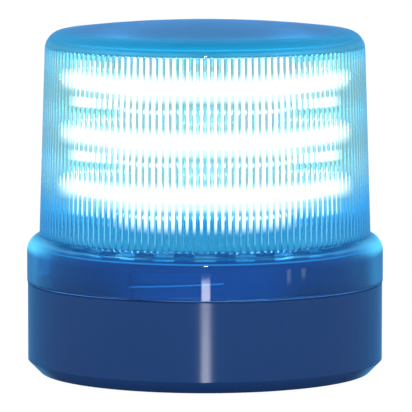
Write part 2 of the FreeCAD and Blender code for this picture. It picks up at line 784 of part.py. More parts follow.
def mode_switch():
    """A slide switch block that picks the flash pattern."""
    block = new_body("mode_switch")
    pad(block, "switch_body", board_top, s.switch_height,
        lambda k: rectangle(k, 0.0, switch_y, switch_width, s.switch_depth))

    def slots(sketch):
        for x in switch_x:
            rectangle(sketch, x, switch_y, s.slot_width, s.slot_length)

    pocket(block, "switch_slots", switch_top, s.slot_depth, slots)
    return block


def mode_slider(number):
    """One slider, standing at the front or the back end of its slot."""
    reach = s.slot_length / 2 - s.slider_gap - s.slider_length / 2
    y = switch_y + reach if number % 2 else switch_y - reach
    body = new_body(f"mode_slider_{number + 1}")
    pad(body, f"slider_{number + 1}", switch_top - s.slot_depth + s.slider_gap,
        s.slot_depth - s.slider_gap + s.slider_proud,
        lambda k: rectangle(k, switch_x[number], y, s.slot_width - s.slider_gap * 2, s.slider_length))
    return body


def storage_capacitor():
    """A can with a crimp groove, hanging under the board."""
    radius = s.capacitor_diameter / 2
    foot = s.board_level - s.capacitor_height
    crimp = s.capacitor_crimp
    body = turned("storage_capacitor", [
        (0.0, foot),
        (radius - crimp, foot),
        (radius, foot + crimp),
        (radius, s.board_level - crimp * 5),
        (radius - crimp, s.board_level - crimp * 4),
        (radius, s.board_level - crimp * 3),
        (radius, s.board_level),
        (0.0, s.board_level),
    ])
    x, y = polar(s.part_ring, 150)
    return place(body, x, y)


def choke():
    """A drum core choke under the board."""
    radius = s.choke_diameter / 2
    cheek = s.choke_height / 5
    foot = s.board_level - s.choke_height
    waist = radius * 3 / 4
    body = turned("choke", [
        (0.0, foot),
        (radius, foot),
        (radius, foot + cheek),
        (waist, foot + cheek),
        (waist, s.board_level - cheek),
        (radius, s.board_level - cheek),
        (radius, s.board_level),
        (0.0, s.board_level),
    ])
    x, y = polar(s.part_ring, 30)
    return place(body, x, y)


def surge_varistor():
    """A lacquered disc standing on edge under the board."""
    body = turned("surge_varistor", [
        (0.0, -s.varistor_thickness / 2),
        (s.varistor_diameter / 2, -s.varistor_thickness / 4),
        (s.varistor_diameter / 2, s.varistor_thickness / 4),
        (0.0, s.varistor_thickness / 2),
    ])
    x, y = polar(s.part_ring, 270)
    body.Placement.Rotation = FreeCAD.Rotation(FreeCAD.Vector(1, 0, 0), 90)
    body.setExpression("Placement.Base.x", x.text)
    body.setExpression("Placement.Base.y", y.text)
    body.setExpression("Placement.Base.z", (s.board_level - s.varistor_diameter / 2).text)
    return body


def driver_chips():
    body = new_body("driver_chips")

    def outlines(sketch):
        for side in (-1, 1):
            rectangle(sketch, s.chip_spread * side, 0.0, s.chip_length, s.chip_width)

    pad(body, "driver_chip", board_top, s.chip_height, outlines)
    return body


def feed_header():
    body = new_body("feed_header")
    pad(body, "feed_header_body", board_top, s.header_height,
        lambda k: rectangle(k, s.header_offset, 0.0, s.header_width, s.header_length))
    return body


pin_y = row_places(4, s.pin_pitch)


def feed_pins():
    """Four square pins that carry the supply up the tower."""
    body = new_body("feed_pins")
    foot = board_top + s.header_height

    def squares(sketch):
        for y in pin_y:
            rectangle(sketch, s.header_offset, y, s.pin_side, s.pin_side)

    pad(body, "feed_pin", foot, tier_top(2) + s.pin_side - foot, squares)
    return body


def pin_holes(sketch):
    for y in pin_y:
        circle(sketch, s.header_offset, y, s.pin_hole / 2)


# Deck and light tower

TIERS = ("lower", "middle", "upper")


def row_level(tier):
    """Middle of a tier's light row."""
    return s.lower_row + s.row_pitch * tier


def tier_top(tier):
    """Upper face of a tier's board, which the LEDs stand on."""
    return row_level(tier) - s.led_height / 2


def deck():
    """The white deck over the electronics, with windows for terminals and switch, and tool holes."""
    body = new_body("deck")
    pad(body, "deck_disc", s.deck_level, s.deck_thickness,
        lambda k: circle(k, 0.0, 0.0, neck_inner - s.fit_gap))
    margin = s.window_margin * 2

    def openings(sketch):
        circle(sketch, 0.0, 0.0, post_hole)
        rectangle(sketch, 0.0, terminal_y, terminal_width + margin, s.terminal_depth + margin)
        rectangle(sketch, 0.0, switch_y, switch_width + margin, s.switch_depth + margin)
        pin_holes(sketch)

    pocket(body, "deck_openings", deck_top, s.deck_thickness, openings)
    tool_hole = pocket(body, "deck_tool_hole", deck_top, s.deck_thickness,
                       lambda k: circle(k, fixing_circle, 0.0, s.access_diameter / 2))
    pattern(body, [tool_hole], s.fixing_count)
    hole = pocket(body, "deck_screw_hole", deck_top, s.deck_thickness,
                  lambda k: circle(k, *polar(deck_post_circle, s.ear_first * 3), screw_clearance))
    pattern(body, [hole], 3)
    return body


def tower_bolt():
    """The bolt that clamps the whole tower to the deck, head below."""
    body = new_body("tower_bolt")
    nut_top = cap_level() + s.hex_height
    pad(body, "bolt_head", s.deck_level - s.hex_height, s.hex_height, lambda k: hexagon(k, s.hex_size))
    pad(body, "bolt_shank", s.deck_level, nut_top + s.post_end - s.deck_level,
        lambda k: circle(k, 0.0, 0.0, s.post_diameter / 2))
    return body


def spacer(tier):
    """A white tube under a tier's board."""
    bottom = deck_top if tier == 0 else tier_top(tier - 1)
    top = tier_top(tier) - s.board_thickness
    outer = s.spacer_diameter / 2
    return ring(f"spacer_{TIERS[tier]}", outer - s.spacer_wall, outer, bottom, top)


def tier_board(tier):
    """A round white board that carries a tier's LEDs on its rim."""
    name = f"tier_board_{TIERS[tier]}"
    body = new_body(name)
    pad(body, f"{name}_disc", tier_top(tier) - s.board_thickness, s.board_thickness,
        lambda k: circle(k, 0.0, 0.0, s.tier_diameter / 2))

    def holes(sketch):
        circle(sketch, 0.0, 0.0, post_hole)
        pin_holes(sketch)

    pocket(body, f"{name}_holes", tier_top(tier), s.board_thickness, holes)
    return body


def tier_leds(tier):
    """Side-facing LEDs round the rim of a tier's board."""
    name = f"leds_{TIERS[tier]}"
    body = new_body(name)
    led_face = s.tier_diameter / 2 - s.led_inset
    led = pad(body, f"{name}_one", tier_top(tier), s.led_height,
              lambda k: rectangle(k, led_face - s.led_depth / 2, 0.0, s.led_depth, s.led_width))
    pattern(body, [led], s.led_count)
    return body


def light_ring(tier):
    """A clear ring round a tier, with a lens belt at the LEDs, a beaded edge and a lip on the board."""
    inner = s.tier_diameter / 2 + s.ring_gap
    outer = inner + s.ring_wall
    row = row_level(tier)
    low = row - s.ring_below
    high = row + s.ring_above
    belt = s.belt_height / 2
    lip = tier_top(tier)
    return turned(f"light_ring_{TIERS[tier]}", [
        (inner - s.ring_lip, lip),
        (inner, lip),
        (inner, low),
        (outer + s.bead_depth, low),
        (outer + s.bead_depth, low + s.bead_height),
        (outer, low + s.bead_height),
        (outer, row - belt),
        (outer + s.belt_depth, row - belt, arc_over(belt, s.belt_bulge)),
        (outer + s.belt_depth, row + belt),
        (outer, row + belt),
        (outer, high),
        (inner, high),
        (inner, lip + s.ring_lip_thickness),
        (inner - s.ring_lip, lip + s.ring_lip_thickness),
    ])


def cap_level():
    """Upper seat of the tower cap, where the nut bears."""
    return tier_top(2) + s.cap_hub + s.cap_slope + s.cap_brim + s.cap_top


def tower_cap():
    """The white cap on the upper board: a hub that flares to a thin brim."""
    foot = tier_top(2)
    hub = s.spacer_diameter / 2
    brim = foot + s.cap_hub + s.cap_slope
    body = turned("tower_cap", [
        (post_hole, foot),
        (hub, foot),
        (hub, foot + s.cap_hub),
        (s.cap_diameter / 2, brim),
        (s.cap_diameter / 2, brim + s.cap_brim),
        (hub / 2, cap_level()),
        (post_hole, cap_level()),
    ])
    pocket(body, "tower_cap_pin_room", foot + s.cap_hub, s.cap_hub,
           lambda k: rectangle(k, s.header_offset, 0.0, s.header_width, s.header_length))
    return body


def tower_nut():
    body = new_body("tower_nut")

    def shape(sketch):
        hexagon(sketch, s.hex_size)
        circle(sketch, 0.0, 0.0, post_hole)

    pad(body, "tower_nut_hex", cap_level(), s.hex_height, shape)
    return body


def build():
    """Makes every piece and returns them, each labelled with its node's name."""
    pieces = [
        base_cup(), bayonet_ring(), dome_seal(), foot_pad(), cable_grommet(),
        screws("ring_screws", 3, ring_pillar_circle, s.ear_first, s.base_height),
        screws("board_screws", 3, board_screw_circle, s.ear_first * 2, board_top),
        screws("deck_screws", 3, deck_post_circle, s.ear_first * 3, deck_top),
        power_board(), terminal_block(), terminal_screws(), wire_clamps(), mode_switch(),
        storage_capacitor(), choke(), surge_varistor(), driver_chips(), feed_header(), feed_pins(),
        deck(), tower_bolt(), tower_cap(), tower_nut(),
    ]
    pieces += [mode_slider(i) for i in range(int(s.switch_ways.value))]
    for tier in range(len(TIERS)):
        pieces += [spacer(tier), tier_board(tier), tier_leds(tier), light_ring(tier)]
    pieces.append(dome_lens())
    return pieces


def check(pieces):
    """Stops if an object failed or a piece has no sound solid."""
    failed = [o.Name for o in doc.Objects if "Invalid" in o.State or "Error" in o.State]
    if failed:
        raise RuntimeError(f"these did not build: {failed}")
    unsound = [p.Label for p in pieces
               if p.Shape.isNull() or not p.Shape.isValid() or not p.Shape.Solids]
    if unsound:
        raise RuntimeError(f"these have no sound solid: {unsound}")


def write(pieces):
    os.makedirs("parts", exist_ok=True)
    for piece in pieces:
        piece.Shape.exportStep(f"parts/{piece.Label}.step")
        print(f"{piece.Label}: {len(piece.Shape.Solids)} solids, {piece.Shape.Volume:.1f} mm3")


pieces = build()
doc.recompute()
check(pieces)
write(pieces)
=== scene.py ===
import math

import bpy
import numpy as np
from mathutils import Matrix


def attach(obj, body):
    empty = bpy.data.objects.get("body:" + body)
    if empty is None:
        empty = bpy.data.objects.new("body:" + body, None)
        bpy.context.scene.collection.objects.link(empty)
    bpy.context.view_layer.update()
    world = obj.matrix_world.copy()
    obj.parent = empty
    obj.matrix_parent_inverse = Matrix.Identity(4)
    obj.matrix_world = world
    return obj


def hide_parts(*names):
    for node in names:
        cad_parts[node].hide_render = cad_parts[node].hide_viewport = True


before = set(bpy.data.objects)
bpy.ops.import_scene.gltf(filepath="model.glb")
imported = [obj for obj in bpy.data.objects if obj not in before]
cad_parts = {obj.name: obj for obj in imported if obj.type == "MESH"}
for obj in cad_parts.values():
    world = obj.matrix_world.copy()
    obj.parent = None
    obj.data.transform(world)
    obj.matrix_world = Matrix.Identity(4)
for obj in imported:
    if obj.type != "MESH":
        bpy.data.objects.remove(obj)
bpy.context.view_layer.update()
print("frame loaded:", len(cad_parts), "nodes")

mm = 0.001
black = (0.0, 0.0, 0.0)
white = (1.0, 1.0, 1.0)


# node helpers

def addNode(tree, kind, **settings):
    # a new node with its properties or inputs set; an underscore in an input's name stands for a space
    node = tree.nodes.new(kind)
    for name, value in settings.items():
        if name in node.bl_rna.properties:
            setattr(node, name, value)
        else:
            node.inputs[name.replace("_", " ")].default_value = value
    return node


def join(tree, fromSocket, toSocket):
    tree.links.new(fromSocket, toSocket)


def emptyMaterial(name):
    material = bpy.data.materials.new(name)
    material.use_nodes = True
    tree = material.node_tree
    tree.nodes.clear()
    return material, tree, addNode(tree, "ShaderNodeOutputMaterial")


def newMaterial(name):
    material, tree, out = emptyMaterial(name)
    shader = addNode(tree, "ShaderNodeBsdfPrincipled")
    join(tree, shader.outputs["BSDF"], out.inputs["Surface"])
    coords = addNode(tree, "ShaderNodeTexCoord")
    return material, tree, shader, coords.outputs["Object"]


def inMm(places):
    return [place * mm for place in places]


def mathOf(tree, operation, a, b):
    node = addNode(tree, "ShaderNodeMath", operation=operation)
    join(tree, a, node.inputs[0])
    join(tree, b, node.inputs[1])
    return node.outputs["Value"]


def timesValue(tree, first, *others):
    # product of two or more values
    product = first
    for other in others:
        product = mathOf(tree, "MULTIPLY", product, other)
    return product


def sumOf(tree, a, b):
    return mathOf(tree, "ADD", a, b)


def largerOf(tree, a, b):
    return mathOf(tree, "MAXIMUM", a, b)


def spreadOver(tree, value, low, high, toLow, toHigh, **kind):
    # goes straight from toLow to toHigh while the value goes from low to high, and stays there beyond
    spread = addNode(tree, "ShaderNodeMapRange", From_Min=low, From_Max=high, To_Min=toLow, To_Max=toHigh,
                     **kind)
    join(tree, value, spread.inputs["Value"])
    return spread.outputs["Result"]


def rampOver(tree, value, low, high, toLow, toHigh):
    # the same with a soft start and end
    return spreadOver(tree, value, low, high, toLow, toHigh, interpolation_type="SMOOTHSTEP")


def rising(tree, value, low, high):
    return rampOver(tree, value, low, high, 0.0, 1.0)


def falling(tree, value, low, high):
    return rampOver(tree, value, low, high, 1.0, 0.0)


def bandOver(tree, value, low, high, soft):
    # 1 between two values, with soft edges
    up = rising(tree, value, low - soft, low + soft)
    return timesValue(tree, up, falling(tree, value, high - soft, high + soft))


def heightOf(tree, coords):
    split = addNode(tree, "ShaderNodeSeparateXYZ")
    join(tree, coords, split.inputs["Vector"])
    return split.outputs["Z"]


def flattened(tree, coords):
    # a place's direction from the axis, with no height
    flat = addNode(tree, "ShaderNodeVectorMath", operation="MULTIPLY")
    flat.inputs[1].default_value = (1.0, 1.0, 0.0)
    join(tree, coords, flat.inputs[0])
    return flat.outputs["Vector"]


def radiusOf(tree, coords):
    length = addNode(tree, "ShaderNodeVectorMath", operation="LENGTH")
    join(tree, flattened(tree, coords), length.inputs[0])
    return length.outputs["Value"]


def mixColour(tree, factor, a, b, **kind):
    # a where the factor is 0, b where it is 1; each is a colour or a socket
    mix = addNode(tree, "ShaderNodeMix", data_type="RGBA", **kind)
    join(tree, factor, mix.inputs["Factor"])
    for value, socket in ((a, mix.inputs["A"]), (b, mix.inputs["B"])):
        if isinstance(value, tuple):
            socket.default_value = (*value, 1.0)
        else:
            join(tree, value, socket)
    return mix.outputs["Result"]


def addColour(tree, amount, colour, extra):
    # colour plus amount times extra
    return mixColour(tree, amount, colour, extra, blend_type="ADD")


def colourRamp(tree, value, stops):
    # colours at places along a value, straight blends between
    node = addNode(tree, "ShaderNodeValToRGB")
    ramp = node.color_ramp
    for i, (place, colour) in enumerate(stops):
        stop = ramp.elements[i] if i < 2 else ramp.elements.new(place)
        stop.position = place
        stop.color = (*colour, 1.0)
    join(tree, value, node.inputs["Fac"])
    return node.outputs["Color"]


def seenRay(tree):
    # 1 where a ray comes from the camera or through clear plastic
    path = addNode(tree, "ShaderNodeLightPath")
    return largerOf(tree, path.outputs["Is Camera Ray"], path.outputs["Is Transmission Ray"])


def attribute(tree, name):
    return addNode(tree, "ShaderNodeAttribute", attribute_name=name).outputs["Fac"]


# camera

cameraSet = {
    "distance": 1.250, "height": 0.17925,
    "pitchDown": 0.106,                 # radians below the level
    "lens": 391.1, "sensor": 36.0,      # mm
    "shiftX": 1.0 / 412,                # one of the picture's 412 columns
    "clip": 0.05,
}


def makeCamera():
    data = bpy.data.cameras.new("camera")
    data.lens = cameraSet["lens"]
    data.sensor_width = cameraSet["sensor"]
    data.shift_x = cameraSet["shiftX"]
    data.clip_start = cameraSet["clip"]
    camera = bpy.data.objects.new("camera", data)
    camera.location = (0.0, -cameraSet["distance"], cameraSet["height"])
    camera.rotation_euler = (math.pi / 2 - cameraSet["pitchDown"], 0.0, 0.0)
    bpy.context.scene.collection.objects.link(camera)
    bpy.context.scene.camera = camera


makeCamera()
print("camera set")


# shared surface effects

grainSet = {
    "start": (("Cloud Scale", 60.0), ("Speckle Scale", 1800.0), ("Speckle", 0.35)),
    "cloud": dict(Detail=4.0, Roughness=0.55),
    "speckle": dict(Detail=2.0, Roughness=0.7),
    "span": (0.3, 0.7),                 # the part of the grain's range that a finish is spread over
    "depth": 0.00005,                   # of the bump, m
}


def makeGrainGroup():
    # moulded grain: a broad cloudy shade with a share of fine speckle, and the speckle as height
    group = bpy.data.node_groups.new("mouldGrain", "ShaderNodeTree")
    face = group.interface
    face.new_socket("Vector", in_out="INPUT", socket_type="NodeSocketVector")
    for name, start in grainSet["start"]:
        socket = face.new_socket(name, in_out="INPUT", socket_type="NodeSocketFloat")
        socket.default_value = start
    for name in ("Shade", "Height"):
        face.new_socket(name, in_out="OUTPUT", socket_type="NodeSocketFloat")
    given = addNode(group, "NodeGroupInput")
    put = addNode(group, "NodeGroupOutput")
    cloud = addNode(group, "ShaderNodeTexNoise", **grainSet["cloud"])
    speckle = addNode(group, "ShaderNodeTexNoise", **grainSet["speckle"])
    for noise, scale in ((cloud, "Cloud Scale"), (speckle, "Speckle Scale")):
        join(group, given.outputs["Vector"], noise.inputs["Vector"])
        join(group, given.outputs[scale], noise.inputs["Scale"])
    blend = addNode(group, "ShaderNodeMix", data_type="FLOAT")
    join(group, given.outputs["Speckle"], blend.inputs["Factor"])
    join(group, cloud.outputs["Fac"], blend.inputs["A"])
    join(group, speckle.outputs["Fac"], blend.inputs["B"])
    join(group, blend.outputs["Result"], put.inputs["Shade"])
    join(group, speckle.outputs["Fac"], put.inputs["Height"])
    return group


grainGroup = makeGrainGroup()


def grainOn(tree, coords, cloudScale, speckleScale, speckle):
    node = addNode(tree, "ShaderNodeGroup", node_tree=grainGroup)
    join(tree, coords, node.inputs["Vector"])
    node.inputs["Cloud Scale"].default_value = cloudScale
    node.inputs["Speckle Scale"].default_value = speckleScale
    node.inputs["Speckle"].default_value = speckle
    return node


def shadeBetween(tree, factor, low, high):
    return colourRamp(tree, factor, tuple(zip(grainSet["span"], (low, high))))


def valueBetween(tree, factor, low, high):
    return spreadOver(tree, factor, *grainSet["span"], low, high)


def grainFinish(tree, shader, coords, scales, colours, rough):
    # colour and roughness that change with the grain
    grain = grainOn(tree, coords, *scales)
    join(tree, shadeBetween(tree, grain.outputs["Shade"], *colours), shader.inputs["Base Color"])
    join(tree, valueBetween(tree, grain.outputs["Shade"], *rough), shader.inputs["Roughness"])
    return grain


def bumpFrom(tree, shader, height, strength, distance):
    bump = addNode(tree, "ShaderNodeBump", Strength=strength, Distance=distance)
    join(tree, height, bump.inputs["Height"])
    join(tree, bump.outputs["Normal"], shader.inputs["Normal"])


# finishes of the solid pieces: colour range, roughness range, metal, grain scales, bump; gloss is how much
# a finish mirrors, 0.5 where none is given; an edge, where given, is a painted highlight along one height

finishes = {
    "baseNavy": dict(low=(0.013, 0.066, 0.240), high=(0.015, 0.072, 0.260), rough=(0.10, 0.15), metal=0.0,
                     cloud=45.0, speckle=2600.0, mix=0.4, bump=0.02, gloss=0.6),
    "ringNavy": dict(low=(0.020, 0.080, 0.270), high=(0.026, 0.090, 0.300), rough=(0.34, 0.44), metal=0.0,
                     cloud=60.0, speckle=2600.0, mix=0.4, bump=0.06,
                     edge=(34.65, 35.15, 0.1),      # painted highlight along the neck's edge: low, high and softness, mm
                     edgeGlow=(0.10, 0.50, 0.75)),
    "sealRubber": dict(low=(0.020, 0.060, 0.160), high=(0.030, 0.080, 0.200), rough=(0.62, 0.78), metal=0.0,
                       cloud=120.0, speckle=3500.0, mix=0.5, bump=0.15),
    "screwSteel": dict(low=(0.50, 0.49, 0.45), high=(0.66, 0.66, 0.64), rough=(0.24, 0.38), metal=1.0,
                       cloud=220.0, speckle=3000.0, mix=0.4, bump=0.05),
    "terminalGrey": dict(low=(0.19, 0.21, 0.22), high=(0.25, 0.27, 0.28), rough=(0.40, 0.52), metal=0.0,
                         cloud=150.0, speckle=3200.0, mix=0.5, bump=0.08),
    "contactBrass": dict(low=(0.62, 0.47, 0.22), high=(0.76, 0.62, 0.34), rough=(0.22, 0.36), metal=1.0,
                         cloud=300.0, speckle=3600.0, mix=0.4, bump=0.05),
    "switchRed": dict(low=(0.36, 0.02, 0.02), high=(0.47, 0.035, 0.03), rough=(0.38, 0.50), metal=0.0,
                      cloud=200.0, speckle=3600.0, mix=0.5, bump=0.08),
    "sliderWhite": dict(low=(0.76, 0.76, 0.73), high=(0.86, 0.86, 0.84), rough=(0.42, 0.54), metal=0.0,
                        cloud=400.0, speckle=5000.0, mix=0.5, bump=0.08),
    "canSleeve": dict(low=(0.035, 0.035, 0.05), high=(0.055, 0.055, 0.075), rough=(0.22, 0.32), metal=0.0,
                      cloud=120.0, speckle=3000.0, mix=0.4, bump=0.05),
    "ferrite": dict(low=(0.045, 0.044, 0.043), high=(0.075, 0.073, 0.07), rough=(0.66, 0.82), metal=0.0,
                    cloud=180.0, speckle=4200.0, mix=0.6, bump=0.2),
    "varistorLacquer": dict(low=(0.035, 0.14, 0.37), high=(0.055, 0.19, 0.46), rough=(0.18, 0.30),
                            metal=0.0, cloud=140.0, speckle=2400.0, mix=0.5, bump=0.12),
    "chipBlack": dict(low=(0.014, 0.014, 0.014), high=(0.026, 0.026, 0.026), rough=(0.52, 0.66), metal=0.0,
                      cloud=300.0, speckle=5200.0, mix=0.6, bump=0.12),
    "palePlastic": dict(low=(0.20, 0.36, 0.52), high=(0.23, 0.40, 0.57), rough=(0.40, 0.52), metal=0.0,
                        cloud=80.0, speckle=2800.0, mix=0.4, bump=0.06),
}
plainGloss = 0.5


def plainFinish(name):
    tone = finishes[name]
    material, tree, shader, coords = newMaterial(name)
    grain = grainFinish(tree, shader, coords, (tone["cloud"], tone["speckle"], tone["mix"]),
                        (tone["low"], tone["high"]), tone["rough"])
    shader.inputs["Metallic"].default_value = tone["metal"]
    shader.inputs["Specular IOR Level"].default_value = tone.get("gloss", plainGloss)
    bumpFrom(tree, shader, grain.outputs["Height"], tone["bump"], grainSet["depth"])
    # painted highlight: a glowing band along the edge, where light from above would catch it
    if "edge" in tone:
        line = bandOver(tree, heightOf(tree, coords), *inMm(tone["edge"]))
        join(tree, mixColour(tree, line, black, tone["edgeGlow"]), shader.inputs["Emission Color"])
        shader.inputs["Emission Strength"].default_value = 1.0
    return material


# circuit boards: solder mask with tracks as a brick pattern, a little lighter than the mask

boardSet = {
    "powerBoard": dict(mask=(0.020, 0.150, 0.060), track=(0.030, 0.200, 0.085), glow=0.0),
    # the tier boards glow with painted light, standing in for the LEDs' light on them
    "tierBoard": dict(mask=(0.80, 0.81, 0.80), track=(0.86, 0.87, 0.86), glow=0.15),
    "tracks": dict(Scale=160.0, Mortar_Size=0.06),
    "shade": 0.92,                      # bricks vary down to this share of the mask's colour
    "grain": (150.0, 3000.0, 0.4),
    "rough": (0.26, 0.38),
    "bump": (0.15, 0.00003),            # strength, and depth in m
}


def boardFinish(name):
    tone = boardSet[name]
    material, tree, shader, coords = newMaterial(name)
    tracks = addNode(tree, "ShaderNodeTexBrick", **boardSet["tracks"])
    tracks.inputs["Color1"].default_value = (*tone["mask"], 1.0)
    tracks.inputs["Color2"].default_value = (*[boardSet["shade"] * c for c in tone["mask"]], 1.0)
    tracks.inputs["Mortar"].default_value = (*tone["track"], 1.0)
    join(tree, coords, tracks.inputs["Vector"])
    join(tree, tracks.outputs["Color"], shader.inputs["Base Color"])
    grain = grainOn(tree, coords, *boardSet["grain"])
    join(tree, valueBetween(tree, grain.outputs["Shade"], *boardSet["rough"]), shader.inputs["Roughness"])
    bumpFrom(tree, shader, tracks.outputs["Fac"], *boardSet["bump"])
    # painted light: a board with glow gives off its own colour, as if lit by the LEDs
    if tone["glow"]:
        join(tree, tracks.outputs["Color"], shader.inputs["Emission Color"])
        shader.inputs["Emission Strength"].default_value = tone["glow"]
    return material


# lit pieces: white light whose strength rises and falls with height; on the core it is painted light

lampSet = {
    "firstRow": 51.5, "rowPitch": 14.8, # middle of the lowest light row, and from row to row, mm
    "rowBelow": 0.6,                    # share of a row's pitch that lies below its middle
    "ledColour": (0.9, 0.9, 0.86), "ledGlow": 1.0,
    "coreColour": (0.50, 0.51, 0.51), "corePaintedGlow": 0.5,     # white spacers and cap; their glow is painted light
    "coreFrom": (40.0, 46.0),           # the core's glow fades in over these heights, mm
    "coreTo": (89.0, 90.0),             # and out over these
    "paintedFootHighlight": 8.0,                    # painted highlight on the core where it stands on each board
    "foot": (-8.25, -8.15, -7.60, -7.40),   # fades in and out over the row's middle, mm
    "lampWhite": (0.93, 0.98, 1.0),
    "spill": 0.04,                      # share of the light that falls on other pieces
    "grain": (90.0, 2400.0, 0.4),
    "rough": (0.30, 0.42),
    "shade": 0.95, "uneven": 0.94,      # colour and glow at the grain's low end
}


def glowColour(tree, colour, amount):
    # colour times a changing amount, for Emission Color; less of it falls on the other pieces
    spill = rampOver(tree, seenRay(tree), 0.0, 1.0, lampSet["spill"], 1.0)
    return mixColour(tree, timesValue(tree, amount, spill), black, colour)


def rowLight(tree, level, edges, below=lampSet["rowBelow"]):
    # 1 in a band over each row's middle, with straight fades at its edges: a ramp over one pitch, of which
    # a share lies below the row's middle
    pitch = lampSet["rowPitch"]
    bottom = lampSet["firstRow"] - below * pitch
    part = spreadOver(tree, level, bottom * mm, (bottom + pitch) * mm, 0.0, 1.0, clamp=False)
    share = addNode(tree, "ShaderNodeMath", operation="FRACT")
    join(tree, part, share.inputs[0])
    stops = [(over / pitch + below, light) for over, light in zip(edges, (black, white, white, black))]
    return colourRamp(tree, share.outputs["Value"], stops)


def litFinish(name, colour, glow, fades=None):
    material, tree, shader, coords = newMaterial(name)
    low = tuple(lampSet["shade"] * c for c in colour)
    grain = grainFinish(tree, shader, coords, lampSet["grain"], (low, colour), lampSet["rough"])
    # the core's feet glow at the full strength, as a painted highlight, the rest at its share of it
    strength = glow if fades is None else lampSet["paintedFootHighlight"]
    share = glow / strength
    amount = valueBetween(tree, grain.outputs["Shade"], lampSet["uneven"] * share, share)
    if fades is not None:
        level = heightOf(tree, coords)
        fadeIn, fadeOut = fades
        amount = largerOf(tree, amount, rowLight(tree, level, lampSet["foot"]))
        amount = timesValue(tree, amount, rising(tree, level, *inMm(fadeIn)),
                            falling(tree, level, *inMm(fadeOut)))
    join(tree, glowColour(tree, lampSet["lampWhite"], amount), shader.inputs["Emission Color"])
    shader.inputs["Emission Strength"].default_value = strength
    return material


# light ring: a hot belt in front of the LEDs, and a clear wall

ringSet = {
    "plastic": ((0.86, 0.89, 0.90), (0.9, 0.93, 0.94)),
    "rough": (0.26, 0.36),
    "beltGlow": 24.0,
    "belt": (-1.80, -1.68, 1.68, 1.80), # belt's fade in and out over the row's middle, mm
    "wallAlpha": (0.02, 0.45),          # clear wall seen straight on and edge on
    "wallFacing": (0.2, 0.9),           # goes from one to the other over these
    "outside": (23.2, 23.8),            # light leaves the ring outside these radii, mm
}


def ringFinish():
    look = ringSet
    material, tree, shader, coords = newMaterial("ringClear")
    grainFinish(tree, shader, coords, lampSet["grain"], look["plastic"], look["rough"])
    belt = rowLight(tree, heightOf(tree, coords), look["belt"])
    join(tree, glowColour(tree, lampSet["lampWhite"], belt), shader.inputs["Emission Color"])
    shader.inputs["Emission Strength"].default_value = look["beltGlow"]
    weight = addNode(tree, "ShaderNodeLayerWeight", Blend=0.5)
    wall = rampOver(tree, weight.outputs["Facing"], *look["wallFacing"], *look["wallAlpha"])
    solid = largerOf(tree, belt, wall)
    # only the outside, seen from outside, is lit and solid
    outside = rising(tree, radiusOf(tree, coords), *inMm(look["outside"]))
    face = addNode(tree, "ShaderNodeNewGeometry")
    front = falling(tree, face.outputs["Backfacing"], 0.0, 1.0)
    join(tree, timesValue(tree, solid, outside, front), shader.inputs["Alpha"])
    return material
